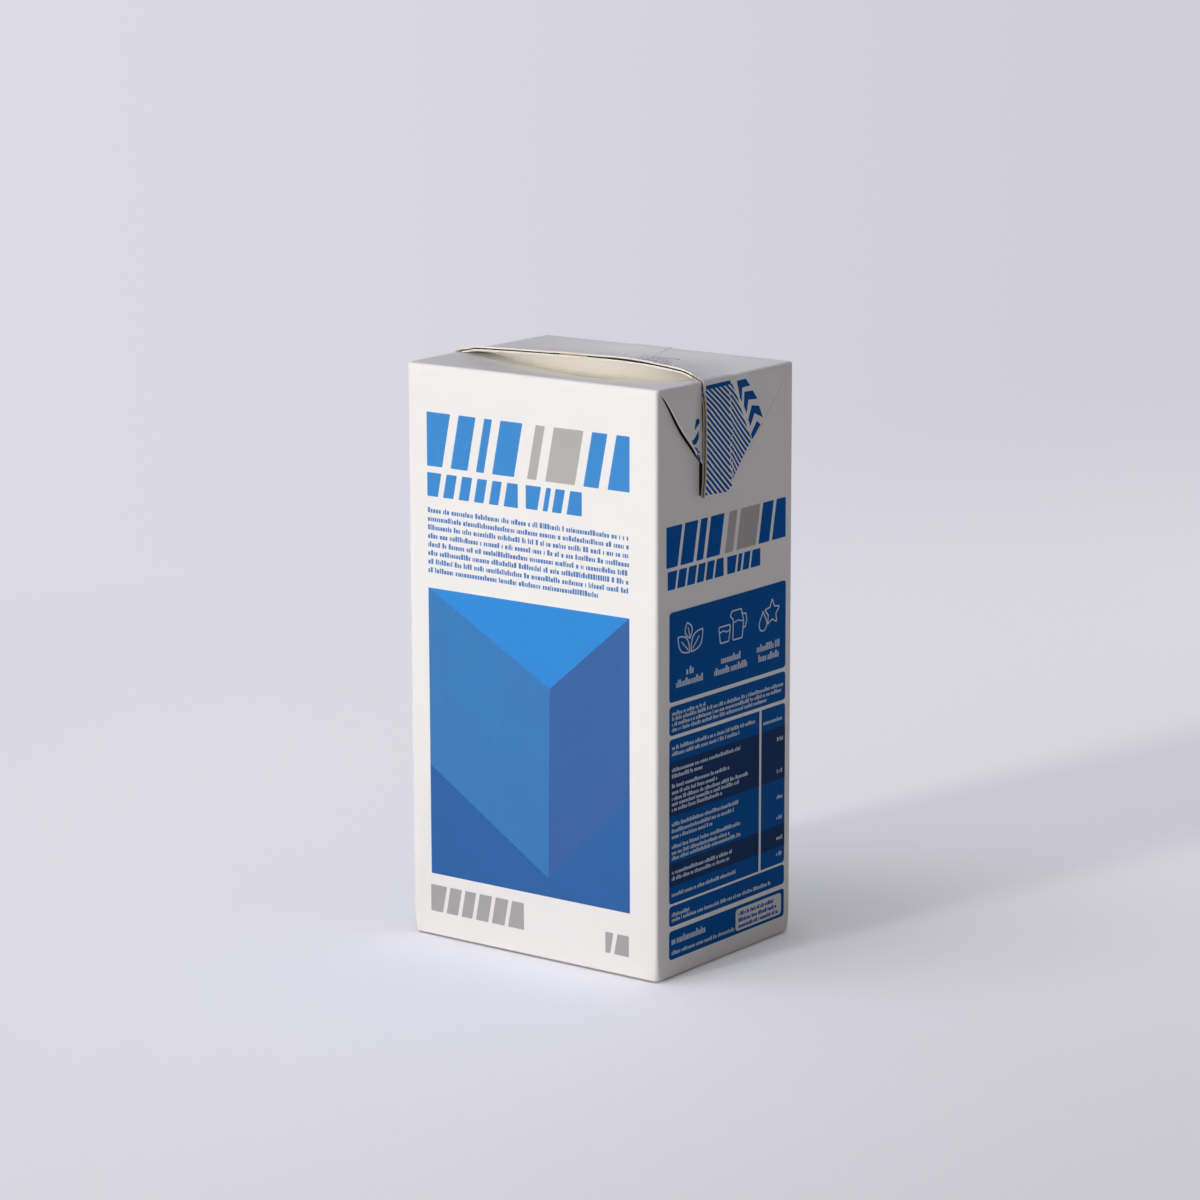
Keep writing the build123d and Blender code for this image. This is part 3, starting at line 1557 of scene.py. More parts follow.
@dataclass
class Print:
    """Shapes of one ink on one surface."""

    surface: Surface
    layer: int = 1
    step: float = 3.0
    draft: Draft = field(default_factory=Draft)

    @property
    def low(self) -> float:
        """Where the ink film starts."""
        return INK_FILM * (self.layer - 1) - INK_ROOT

    @property
    def high(self) -> float:
        """The ink film's face."""
        return INK_FILM * self.layer

    def fill(self, outline: Outline) -> None:
        """Prints a field, in triangles small enough to follow the surface.

        Args:
            outline: the field's corners, in order.
        """
        border: list[Vector] = []
        for i, start in enumerate(outline):
            end = outline[(i + 1) % len(outline)]
            length = math.dist(start, end)
            parts = max(1, math.ceil(length / self.step))
            border += [Vector(start).lerp(Vector(end), k / parts) for k in range(parts)]
        edges = [(i, (i + 1) % len(border)) for i in range(len(border))]
        left, right = min(p.x for p in border), max(p.x for p in border)
        low, high = min(p.y for p in border), max(p.y for p in border)
        inner = []
        for i in range(1, math.ceil((right - left) / self.step)):
            for j in range(1, math.ceil((high - low) / self.step)):
                point = Vector((left + i * self.step, low + j * self.step))
                if inside(point, border) and clear(point, border, self.step * 0.4):
                    inner.append(point)
        points, _, faces, *_ = delaunay_2d_cdt(border + inner, edges, [], 1, 1e-5)
        self.slab([tuple(p) for p in points], faces)

    def slab(self, flat: Sequence[tuple[float, float]], faces: Sequence[Sequence[int]]) -> None:
        """Adds flat faces as a thin closed film on the surface.

        Args:
            flat: the corners.
            faces: faces, which number them.
        """
        count = len(flat)
        top = [self.surface.place(u, v, self.high) for u, v in flat]
        bottom = [self.surface.place(u, v, self.low) for u, v in flat]
        used: dict[tuple[int, int], int] = {}
        for face in faces:
            for a, b in zip(face, (*face[1:], face[0]), strict=True):
                used[(a, b)] = used.get((a, b), 0) + 1
        rim = [(a, b) for a, b in used if (b, a) not in used]
        sides = [(b, a, a + count, b + count) for a, b in rim]
        under = [[i + count for i in reversed(face)] for face in faces]
        self.draft.add(top + bottom, [*faces, *under, *sides])

    def line(self, points: Outline, width: float, closed: bool = False) -> None:
        """Prints a line of even width.

        Args:
            points: what it follows.
            width: its width.
            closed: whether it ends where it starts.
        """
        path = [Vector(p) for p in points]
        count = len(path)
        left, right = [], []
        for i, point in enumerate(path):
            before = path[i - 1] if closed or i else point
            after = path[(i + 1) % count] if closed or i < count - 1 else point
            ahead, behind_ = (after - point), (point - before)
            ahead = ahead.normalized() if ahead.length > 0 else behind_.normalized()
            behind_ = behind_.normalized() if behind_.length > 0 else ahead
            across = Vector((-(ahead + behind_).y, (ahead + behind_).x)).normalized()
            reach = width / 2 / max(across.dot(Vector((-ahead.y, ahead.x))), 0.45)
            left.append(tuple(point + across * reach))
            right.append(tuple(point - across * reach))
        faces = []
        for i in range(count if closed else count - 1):
            k = (i + 1) % count
            faces.append((i, i + count, k + count, k))
        self.slab(left + right, faces)

    def piece(self, name: str, ink: Material) -> bpy.types.Object:
        """Finishes the print as a piece of the pack."""
        return self.draft.piece(name, [ink])


def inside(point: Vector, border: Sequence[Vector]) -> bool:
    """Whether a flat point is inside a closed border.

    Args:
        point: the point.
        border: the border's corners.

    Returns:
        Whether it is.
    """
    odd = False
    for i, a in enumerate(border):
        b = border[i - 1]
        if (a.y > point.y) != (b.y > point.y):
            if point.x < a.x + (b.x - a.x) * (point.y - a.y) / (b.y - a.y):
                odd = not odd
    return odd


def clear(point: Vector, border: Sequence[Vector], distance: float) -> bool:
    """Whether a point is at least this far from every corner of a border."""
    return all((point - other).length > distance for other in border)


@dataclass(frozen=True)
class TextRow:
    """A line of small print: where its left end stands, its length and its marks' height."""

    u: float
    v: float
    length: float


@dataclass(frozen=True)
class SmallPrint:
    """Rows of small upright marks that stand for small print and spell nothing."""

    height: float = 1.1
    tall: float = 1.55
    narrow: float = 0.3
    wide: float = 0.85
    gap: float = 0.26
    word_gap: float = 0.65
    word_chance: float = 0.19
    seed: int = 3

    @staticmethod
    @cache
    def tree() -> Tree:
        """The node tree, which sets marks side by side from each row's first point.

        Returns:
            The tree.
        """
        sizes = ("Height", "Tall", "Narrow", "Wide", "Gap", "Word Gap", "Word Chance")
        tree, add, given = geometry_tree(
            "small_print",
            {
                "Rows": "Geometry",
                **dict.fromkeys((*sizes, "Thickness", "Longest"), "Float"),
                "Seed": "Int",
                "Ink": "Material",
            },
        )
        pace = add("ShaderNodeMath", {0: given["Narrow"], 1: given["Gap"]}, operation="ADD")
        count = add("ShaderNodeMath", {0: given["Longest"], 1: pace}, operation="DIVIDE")
        row = add("GeometryNodeInputIndex")
        numbered = add(
            "GeometryNodeStoreNamedAttribute",
            {"Geometry": given["Rows"], "Name": "row", "Value": row},
            data_type="INT",
            domain="POINT",
        )
        marks = add(
            "GeometryNodeDuplicateElements", {"Geometry": numbered, "Amount": count}, domain="POINT"
        )
        in_row = add(
            "GeometryNodeInputNamedAttribute", {"Name": "row"}, data_type="INT"
        ).outputs["Attribute"]
        width = add(
            "FunctionNodeRandomValue",
            {2: given["Narrow"], 3: given["Wide"], "Seed": given["Seed"]},
            data_type="FLOAT",
        ).outputs[1]
        other_seed = add("ShaderNodeMath", {0: given["Seed"], 1: 7.0}, operation="ADD").outputs[0]
        ends_word, is_tall = (
            add(
                "FunctionNodeRandomValue",
                {"Probability": chance, "Seed": seed},
                data_type="BOOLEAN",
            ).outputs[3]
            for chance, seed in ((given["Word Chance"], given["Seed"]), (0.3, other_seed))
        )
        word_gap = add("ShaderNodeMath", {0: ends_word, 1: given["Word Gap"]}, operation="MULTIPLY")
        advance = add("ShaderNodeMath", {0: width, 1: given["Gap"]}, operation="ADD")
        advance = add("ShaderNodeMath", {0: advance, 1: word_gap}, operation="ADD")
        run = add(
            "GeometryNodeAccumulateField",
            {0: advance, "Group ID": in_row},
            data_type="FLOAT",
            domain="POINT",
        )
        height = add(
            "ShaderNodeMix", {0: is_tall, 2: given["Height"], 3: given["Tall"]}, data_type="FLOAT"
        )
        measures = {"start": run.outputs["Trailing"], "mark_width": width, "mark_height": height}
        for name in ("mark_width", "mark_height", "start"):
            marks = add(
                "GeometryNodeStoreNamedAttribute",
                {"Geometry": marks, "Name": name, "Value": measures[name]},
                data_type="FLOAT",
                domain="POINT",
            )
        start, mark_width, mark_height, length = (
            add(
                "GeometryNodeInputNamedAttribute", {"Name": name}, data_type="FLOAT"
            ).outputs["Attribute"]
            for name in (*measures, "length")
        )
        stop = add("ShaderNodeMath", {0: start, 1: mark_width}, operation="ADD")
        over = add("ShaderNodeMath", {0: stop, 1: length}, operation="GREATER_THAN")
        trimmed = add(
            "GeometryNodeDeleteGeometry", {"Geometry": marks, "Selection": over}, domain="POINT"
        )
        half_width = add(
            "ShaderNodeMath", {0: mark_width, 1: 0.5, 2: start}, operation="MULTIPLY_ADD"
        )
        half_height, half_thick = (
            add("ShaderNodeMath", {0: whole, 1: 0.5}, operation="MULTIPLY")
            for whole in (mark_height, given["Thickness"])
        )
        offset = add("ShaderNodeCombineXYZ", {0: half_width, 1: half_height, 2: half_thick})
        size = add("ShaderNodeCombineXYZ", {0: mark_width, 1: mark_height, 2: given["Thickness"]})
        moved = add("GeometryNodeSetPosition", {"Geometry": trimmed, "Offset": offset})
        mark = add("GeometryNodeMeshCube", {"Size": (1.0, 1.0, 1.0)})
        set_out = add(
            "GeometryNodeInstanceOnPoints", {"Points": moved, "Instance": mark, "Scale": size}
        )
        real = add("GeometryNodeRealizeInstances", {"Geometry": set_out})
        inked = add("GeometryNodeSetMaterial", {"Geometry": real, "Material": given["Ink"]})
        add("NodeGroupOutput", {0: inked})
        return tree

    def lay(
        self, name: str, rows: Sequence[TextRow], surface: Surface, ink: Material, layer: int = 1
    ) -> bpy.types.Object:
        """Prints rows of marks on a surface.

        Args:
            name: the piece's name.
            rows: where the rows are.
            surface: what they are printed on.
            ink: their ink.
            layer: how many films of ink they make with what is under them.

        Returns:
            The piece.
        """
        starts = bpy.data.meshes.new(name)
        starts.from_pydata([(r.u, r.v, 0) for r in rows], [], [])
        lengths = starts.attributes.new("length", "FLOAT", "POINT")
        lengths.data.foreach_set("value", [r.length for r in rows])
        longest = {"Longest": max(r.length for r in rows)}
        mesh = grown(name, starts, self.tree(), tree_values(self, ink) | longest)
        low = INK_FILM * (layer - 1) - INK_ROOT
        for vertex in mesh.vertices:
            u, v, w = vertex.co
            vertex.co = surface.place(u, v, low + w) * MM
        return enrol(name, mesh)


@dataclass(frozen=True)
class StripeField:
    """Parallel slanted stripes of even width, cut to a convex outline."""

    pitch: float = 1.42
    width: float = 0.8
    slant: float = -40.0  # degrees; below 0 the stripes fall to the right
    length: float = 60.0
    count: int = 60

    @staticmethod
    @cache
    def tree() -> Tree:
        """The node tree, which sets long thin bars side by side and turns them.

        Returns:
            The tree.
        """
        tree, add, given = geometry_tree(
            "stripe_field",
            {
                "Start": "Geometry",
                "Count": "Int",
                **dict.fromkeys(("Pitch", "Width", "Length", "Slant", "Thickness"), "Float"),
                "Divisions": "Int",
                "Ink": "Material",
            },
        )
        pace = add("ShaderNodeCombineXYZ", {1: given["Pitch"]})
        line = add("GeometryNodeMeshLine", {"Count": given["Count"], "Offset": pace})
        size = add(
            "ShaderNodeCombineXYZ", {0: given["Length"], 1: given["Width"], 2: given["Thickness"]}
        )
        bar = add("GeometryNodeMeshCube", {"Size": size, "Vertices X": given["Divisions"]})
        bars = add("GeometryNodeInstanceOnPoints", {"Points": line, "Instance": bar})
        real = add("GeometryNodeRealizeInstances", {"Geometry": bars})
        angle = add("ShaderNodeMath", {0: given["Slant"]}, operation="RADIANS")
        half = add("ShaderNodeMath", {0: given["Thickness"], 1: 0.5}, operation="MULTIPLY")
        turn, lift = (add("ShaderNodeCombineXYZ", {2: z}) for z in (angle, half))
        turned = add(
            "GeometryNodeTransform", {"Geometry": real, "Rotation": turn, "Translation": lift}
        )
        inked = add("GeometryNodeSetMaterial", {"Geometry": turned, "Material": given["Ink"]})
        add("NodeGroupOutput", {0: inked})
        return tree

    def lay(
        self,
        name: str,
        outline: Outline,
        start: tuple[float, float],
        surface: Surface,
        ink: Material,
    ) -> bpy.types.Object:
        """Prints the stripes inside an outline.

        Args:
            name: the piece's name.
            outline: a convex outline, anticlockwise.
            start: the middle of the first stripe.
            surface: what they are printed on.
            ink: their ink.

        Returns:
            The piece.
        """
        values = tree_values(self, ink) | {"Divisions": int(self.length)}
        mesh = grown(name, bpy.data.meshes.new(name), self.tree(), values)
        work = bmesh.new()
        work.from_mesh(mesh)
        bmesh.ops.translate(work, verts=work.verts, vec=(*start, 0))
        for i, (u0, v0) in enumerate(outline):
            u1, v1 = outline[(i + 1) % len(outline)]
            everything = [*work.verts, *work.edges, *work.faces]
            bmesh.ops.bisect_plane(
                work,
                geom=everything,
                dist=1e-4,
                plane_co=(u0, v0, 0),
                plane_no=(v1 - v0, u0 - u1, 0),
                clear_outer=True,
            )
            open_edges = [e for e in work.edges if e.is_boundary]
            bmesh.ops.holes_fill(work, edges=open_edges, sides=0)
        for vertex in work.verts:
            u, v, w = vertex.co
            vertex.co = surface.place(u, v, w - INK_ROOT) * MM
        work.to_mesh(mesh)
        work.free()
        return enrol(name, mesh)


def geometry_tree(name: str, inputs: dict[str, str]) -> tuple[Tree, AddNode, dict[str, Socket]]:
    """Starts a geometry tree.

    Args:
        name: the tree's name.
        inputs: the kind of each named input, the first of which is the geometry.

    Returns:
        The tree, what adds nodes to it, and its inputs as sockets inside it.
    """
    tree = bpy.data.node_groups.new(name, "GeometryNodeTree")
    for label, kind in inputs.items():
        tree.interface.new_socket(label, in_out="INPUT", socket_type="NodeSocket" + kind)
    tree.interface.new_socket("Mesh", in_out="OUTPUT", socket_type="NodeSocketGeometry")
    add = partial(add_node, tree)
    return tree, add, add("NodeGroupInput").outputs


def tree_values(sizes: "SmallPrint | StripeField", ink: Material) -> dict[str, object]:
    """A value for each named input of a print's tree, from its own fields and its ink."""
    values = {f.name.replace("_", " ").title(): getattr(sizes, f.name) for f in fields(sizes)}
    return values | {"Thickness": INK_FILM + INK_ROOT, "Ink": ink}


def grown(name: str, mesh: bpy.types.Mesh, tree: Tree, values: dict[str, object]) -> bpy.types.Mesh:
    """Runs a geometry tree on a mesh.

    Args:
        name: the name of the mesh that comes out.
        mesh: what goes in.
        tree: the geometry tree.
        values: a value for each of its named inputs.

    Returns:
        The plain mesh that the tree makes.
    """
    carrier = bpy.data.objects.new(name + "_source", mesh)
    bpy.context.scene.collection.objects.link(carrier)
    modifier = carrier.modifiers.new("grow", "NODES")
    modifier.node_group = tree
    for item in tree.interface.items_tree:
        if item.in_out == "INPUT" and item.name in values:
            modifier[item.identifier] = values[item.name]
    evaluated = carrier.evaluated_get(bpy.context.evaluated_depsgraph_get())
    made = bpy.data.meshes.new_from_object(evaluated)
    made.name = name
    carrier.modifiers.clear()
    bpy.data.objects.remove(carrier)
    return made


GREY_BLOCKS = (4, 5)  # the blocks of a name band that are grey, from the left


@dataclass(frozen=True)
class SlicedBand:
    """A band cut into blocks by slanted gaps. It stands where a name would, and spells nothing."""

    left: float
    right: float
    low: float
    high: float
    cuts: Pairs  # (middle of a gap, its width)
    lean: float = 0.2  # how far a gap leans to the right, as a share of the band's height

    def blocks(self) -> list[Corners]:
        """The blocks' outlines, from the left.

        Returns:
            The outlines.
        """
        shift = self.lean * (self.high - self.low) / 2
        edges = [(self.left, self.left)]
        for middle, gap in self.cuts:
            edges.append((middle - shift - gap / 2, middle + shift - gap / 2))
            edges.append((middle - shift + gap / 2, middle + shift + gap / 2))
        edges.append((self.right, self.right))
        shapes = []
        for (l0, l1), (r0, r1) in zip(edges[::2], edges[1::2], strict=True):
            shapes.append([(l0, self.low), (r0, self.low), (r1, self.high), (l1, self.high)])
        return shapes


@dataclass(frozen=True)
class Panel:
    """The print on one wall."""

    pack: Pack
    side: Side
    seed: int

    @property
    def wall(self) -> Wall:
        """The wall it is printed on."""
        return Wall(self.pack, self.side)

    @property
    def label(self) -> str:
        """What the names of its pieces start with."""
        return self.side.name.lower()


@dataclass(frozen=True)
class MainPanel(Panel):
    """The print on the front and the back: name band, small print and a faceted field."""

    name: SlicedBand = SlicedBand(
        7.2,
        80.5,
        142.2,
        158.1,
        ((16.0, 3.2), (25.4, 3.2), (31.4, 3.1), (43.3, 4.8), (50.6, 3.3), (64.3, 3.1), (72.8, 3.2)),
    )
    second: tuple[SlicedBand, ...] = (
        SlicedBand(
            7.2, 40.7, 133.3, 140.3, ((12.8, 2), (18.6, 2), (24.3, 2), (29.8, 2), (35.2, 2))
        ),
        SlicedBand(43.6, 63.7, 133.5, 140.4, ((49.4, 1.9), (52.9, 1.6), (58.0, 1.9))),
    )
    maker: SlicedBand = SlicedBand(
        6.9, 41.8, 7.9, 16.0, ((12.8, 1.4), (18.5, 1.4), (23.9, 1.4), (29.9, 1.4), (36.0, 1.4))
    )
    contents: SlicedBand = SlicedBand(71.6, 80.0, 6.4, 12.6, ((74.6, 1.5),))

    def facets(self) -> dict[str, list[Corners]]:
        """The faceted field's outlines, by ink.

        Returns:
            The outlines for each ink's name in the palette.
        """
        left, right, low, high = 7.2, 80.4, 19.5, 106.0
        upper, lower = (51.9, 81.7), (51.1, 25.1)
        left_low, right_low = (left, 52.8), (right, 53.4)
        return {
            "facet_sky": [[(left, high), upper, (right, high)]],
            "facet_day": [[(left, high), left_low, lower, upper]],
            "facet_dusk": [[upper, lower, right_low, (right, high)]],
            "facet_deep": [
                [left_low, (left, low), (lower[0], low), lower],
                [lower, (lower[0], low), (right, low), right_low],
            ],
        }

    def fill(self, ink: Print, outline: Outline) -> None:
        """Prints a field, in two parts where the sheet's lap steps down across the back.

        Args:
            ink: what it is printed in.
            outline: its corners.
        """
        if self.side is not Side.BACK:
            ink.fill(outline)
            return
        step = self.pack.width / 2 - self.pack.seam_cut
        for place, keep_right in ((step - 0.02, False), (step + 0.001, True)):
            part = cut_by(outline, place, keep_right)
            if len(part) > 2:
                ink.fill(part)

    def build(self, palette: Palette) -> None:
        """Makes every field and row of print on the wall.

        Args:
            palette: the finishes.
        """
        label, wall = self.label, self.wall
        blue, grey, mark = Print(wall), Print(wall), Print(wall)
        for i, block in enumerate(self.name.blocks()):
            self.fill(grey if i in GREY_BLOCKS else blue, rounded(block, 0.25))
        for band in self.second:
            for block in band.blocks():
                self.fill(blue, rounded(block, 0.2))
        for block in self.maker.blocks() + self.contents.blocks():
            self.fill(mark, rounded(block, 0.2))
        blue.piece(f"{label}_name_blue", palette.name_blue)
        grey.piece(f"{label}_name_grey", palette.grey)
        mark.piece(f"{label}_marks_grey", palette.mark_grey)
        for ink_name, outlines in self.facets().items():
            ink = Print(wall)
            for outline in outlines:
                self.fill(ink, outline)
            ink.piece(f"{label}_{ink_name}", getattr(palette, ink_name))
        rows = [TextRow(7.3, 128.4 - 2.54 * i, 73.0 if i < 7 else 62.8) for i in range(8)]
        SmallPrint(seed=self.seed).lay(f"{label}_text", rows, wall, palette.text_blue)


@dataclass(frozen=True)
class SidePanel(Panel):
    """The print on a side wall: name band, icons, tables of small print and a label."""

    name: SlicedBand = SlicedBand(
        4.4,
        63.4,
        120.7,
        132.5,
        ((11.5, 1.4), (19.1, 1.5), (23.9, 1.6), (32.5, 2.6), (38.6, 1.8), (49.9, 1.5), (56.8, 1.5)),
    )
    second: tuple[SlicedBand, ...] = (
        SlicedBand(5.0, 32.0, 114.3, 119.6, ((9.5, 1), (14.2, 1), (18.9, 1), (23.2, 1), (27.6, 1))),
        SlicedBand(33.8, 50.4, 114.3, 119.4, ((38.6, 1), (41.4, 1), (45.5, 1))),
    )
    left: float = 5.8
    right: float = 63.7
    panels: Pairs = ((81.6, 107.7), (71.9, 80.4), (22.3, 70.8), (15.6, 21.6), (5.7, 14.2))
    bands: Pairs = ((48.2, 64.0), (27.5, 34.2))  # the table's darker rows
    line_width: float = 0.42

    def icons(self, ink: Print) -> None:
        """Draws a sprig, a jug with a glass, and a star with a drop, in thin lines.

        Args:
            ink: what they are printed in.
        """
        width, fine = self.line_width, self.line_width * 0.8
        for base, tip, bulge in (
            ((15.4, 94.9), (9.9, 100.0), 2.1),
            ((16.2, 94.9), (21.7, 100.6), 2.3),
            ((15.7, 98.9), (14.2, 103.6), 1.7),
        ):
            start, end = Vector(base), Vector(tip)
            across = Vector((-(end - start).y, (end - start).x)).normalized() * bulge
            rim = []
            for sign in (1, -1):
                for k in range(8):
                    share = k / 8 if sign > 0 else 1 - k / 8
                    bow = math.sin(math.pi * share) ** 0.9
                    rim.append(tuple(start.lerp(end, share) + across * (bow * sign)))
            ink.line(rim, width, closed=True)
            ink.line([tuple(start.lerp(end, share)) for share in (0.12, 0.7)], fine)
        glass = ((29.6, 99.4), (30.4, 94.6), (34.6, 94.6), (35.4, 99.4))
        ink.line(rounded(glass, 0.5), width, closed=True)
        ink.line([(30.0, 97.7), (32.0, 98.1), (33.2, 97.5), (35.0, 97.8)], fine)
        base, spout = ((36.6, 94.5), (41.3, 94.5)), ((36.2, 103.1), (35.2, 101.8), (36.8, 100.6))
        ink.line(rounded((*base, (42.0, 99.5), (40.8, 103.1), *spout), 0.45), width, closed=True)
        ink.line([(37.2, 99.6), (39.2, 100.0), (41.7, 99.4)], fine)
        ink.line([(41.5, 101.6), (43.2, 101.3), (43.6, 99.4), (42.9, 97.6), (41.9, 97.2)], width)
        star = []
        for k in range(10):
            reach = 4.0 if k % 2 == 0 else 2.05
            turn = math.pi / 2 + math.pi / 5 * k
            star.append((56.6 + reach * math.cos(turn), 99.3 + reach * math.sin(turn)))
        ink.line(rounded(star, 0.18, 3), width, closed=True)
        drop = [(51.9, 100.2)]
        for k in range(13):
            turn = math.radians(150 + 20 * k)
            drop.append((51.9 + 2.0 * math.cos(turn), 96.5 + 2.0 * math.sin(turn)))
        ink.line(drop, width, closed=True)

    def rows(self) -> list[TextRow]:
        """The small print reversed out of the panels.

        Returns:
            The rows, from the top.
        """
        lines = (
            (78.2, 16.5), (76.7, 55.5), (75.1, 55), (73.5, 47.5), (68.2, 41.5), (66.4, 33.5),
            (61.7, 34), (59.9, 15), (57.0, 28.5), (55.1, 22), (53.3, 38), (51.7, 33.5),
            (50.1, 25), (45.7, 33), (43.8, 31.3), (42.0, 20), (39.1, 34.5), (37.3, 28.5),
            (35.7, 34.3), (31.5, 30.5), (29.7, 28.5), (24.9, 32.3), (18.9, 8.8), (17.4, 49.5),
            (7.6, 31),
        )  # fmt: skip
        rows = [TextRow(7, v - 0.5, length) for v, length in lines]
        rows.append(TextRow(52.3, 66.1, 10.3))
        amounts = (60.4, 50.7, 42.8, 36.5, 30.3, 25.4)
        return rows + [TextRow(59.5, v - 0.5, 3.1) for v in amounts]

    def build(self, palette: Palette) -> None:
        """Makes every field and row of print on the wall.

        Args:
            palette: the finishes.
        """
        label, wall = self.label, self.wall
        blue, grey = Print(wall), Print(wall)
        for i, block in enumerate(self.name.blocks()):
            (grey if i in GREY_BLOCKS else blue).fill(rounded(block, 0.2))
        for band in self.second:
            for block in band.blocks():
                blue.fill(rounded(block, 0.15))
        blue.piece(f"{label}_name_blue", palette.side_name)
        grey.piece(f"{label}_name_grey", palette.grey)

        ground, navy = Print(wall), Print(wall, layer=2)
        rule = Print(wall, layer=3)
        for low, high in self.panels:
            ground.fill(rounded(rectangle(self.left, self.right, low, high), 1.1))
        for low, high in self.bands:
            navy.fill(rectangle(self.left, self.right, low, high))
        rule.fill(rectangle(50.3, 51.3, 22.25, 70.85))
        rule.piece(f"{label}_table_rule", palette.board)
        ground.piece(f"{label}_panels", palette.side_blue)
        navy.piece(f"{label}_table_bands", palette.side_navy)

        icons = Print(wall, layer=2)
        self.icons(icons)
        icons.piece(f"{label}_icons", palette.icon_pale)

        small = SmallPrint(
            height=0.85, tall=1.2, narrow=0.28, wide=0.75, gap=0.22, word_gap=0.45, seed=self.seed
        )
        small.lay(f"{label}_small_print", self.rows(), wall, palette.side_pale, layer=3)
        lines = (
            (13.8, 88.5, 4.0), (9.0, 85.5, 13.3), (30.8, 88.5, 10.4), (27.4, 85.5, 17.3),
            (48.8, 88.5, 12.7), (49.6, 85.5, 11.2), (7.0, 10.1, 17.5),
        )  # fmt: skip
        captions = [TextRow(*line) for line in lines]
        bold = SmallPrint(
            height=1.5, tall=2.2, narrow=0.42, wide=1.05, gap=0.24, word_gap=0.5,
            word_chance=0.04, seed=self.seed + 4,
        )  # fmt: skip
        bold.lay(f"{label}_captions", captions, wall, palette.side_pale, layer=2)

        tag = Print(wall, layer=2)
        tag.fill(rounded(rectangle(38.8, 62.2, 6.6, 13.2), 1.1))
        tag.piece(f"{label}_label", palette.label)
        tag_rows = [TextRow(40.2, 11.0, 18.2), TextRow(40.2, 9.1, 20.2), TextRow(40.2, 7.3, 20.6)]
        SmallPrint(
            height=0.85, tall=1.2, narrow=0.3, wide=0.8, gap=0.2, word_gap=0.4, seed=self.seed + 9
        ).lay(f"{label}_label_print", tag_rows, wall, palette.side_name, layer=3)


@dataclass(frozen=True)
class Lid:
    """The sunk lid. u is along the pack from its middle, and v towards the back."""

    pack: Pack

    def place(self, u: float, v: float, lift: float) -> Vector:
        """The point over (u, v), this far off the lid."""
        return Vector((u, v, self.pack.lid(u, v) + self.pack.lid_lap(u) + lift))

    def build(self, palette: Palette) -> None:
        """Makes the faint dots that a date printer leaves, which spell nothing.

        Args:
            palette: the finishes.
        """
        dots = SmallPrint(
            height=0.5, tall=0.9, narrow=0.35, wide=0.6, gap=0.35, word_gap=0.7, seed=5
        )
        rows = [TextRow(-1.4, 12.5 + 1.7 * i, 14.0 - 1.2 * (i % 3)) for i in range(7)]
        dots.lay("lid_date_marks", rows, self, palette.smudge)


@dataclass(frozen=True)
class EarPrint:
    """The bar, stripes and arrow blocks on an ear, and what shows of them in front of the fin."""

    face: EarFace
    ridge: Pairs = ((-0.24, -0.04), (-0.05, 0.14), (0.03, 0.13), (0.1, -0.06))

    def build(self, palette: Palette) -> None:
        """Makes the ear's print.

        Args:
            palette: the finishes.
        """
        label = "left" if self.face.left else "right"
        top = self.face.pack.height

        def down(points: Outline) -> Corners:
            """Measured from the ear's top down to v."""
            return [(u, top - d) for u, d in points]

        edge = 20.0 + self.face.fin.askew * self.face.left
        outline = down(
            ((edge, 2.3), (edge, 32.4), (30.6, 32.9), (33.6, 31.4), (45.2, 19.9), (34.2, 2.3))
        )
        StripeField().lay(
            f"{label}_ear_stripes", outline, (12.5, top - 31.0), self.face, palette.side_blue
        )
        solid = Print(self.face, step=1.0)
        solid.fill(down(((edge + 0.1, 1.2), (edge + 0.1, 2.35), (33.7, 2.35), (33.2, 1.2))))
        for arrow in (
            ((37.0, 1.9), (38.4, 6.9), (39.5, 8.3), (39.9, 4.2), (44.3, 4.2), (42.0, 1.9)),
            ((41.1, 5.6), (40.9, 9.7), (42.5, 12.0), (43.4, 8.2), (48.0, 8.5), (45.6, 5.8)),
            ((45.2, 10.0), (43.4, 14.0), (44.5, 16.0), (46.5, 12.5), (50.8, 14.3), (48.8, 10.7)),
            ((47.8, 14.9), (44.8, 18.4), (45.5, 20.0), (49.6, 16.2)),
            ((16.5, 10.2), (15.5, 13.1), (18.6, 11.5), (18.6, 10.2)),
            ((14.1, 15.8), (14.6, 17.2), (16.3, 17.2), (18.0, 15.7), (18.0, 13.5), (15.0, 15.7)),
            ((15.4, 18.1), (19.0, 21.2), (19.0, 20.3), (16.1, 17.9)),
            ((16.9, 20.5), (18.9, 22.4), (18.9, 21.6), (17.2, 20.1)),
        ):
            solid.fill(down(arrow))
        solid.piece(f"{label}_ear_arrows", palette.side_blue)
        seal = Print(self.face, layer=2, step=1.0)
        for d in even(4.4, 29.6, 12):
            seal.line(down(((32.3, d), (32.6, d + 1.0))), 0.38)
        seal.piece(f"{label}_ear_seal_marks", palette.board)
        self.crease(label, palette)

    def crease(self, label: str, palette: Palette) -> None:
        """Makes the sharp little ridge that the sheet has along the ear's rear fold.

        Args:
            label: which ear it is.
            palette: the finishes.
        """
        ear = self.face.ear
        rows = []
        for z in even(ear.hinge - 0.6, ear.hinge - 30.6, 40):
            u = self.face.pack.depth / 2 + ear.edge(z, False) - 0.4
            rows.append([self.face.place(u + a, z - a, lift) for a, lift in self.ridge])
        Draft().tube(rows).piece(f"{label}_ear_crease", [palette.board])


# ---- the studio


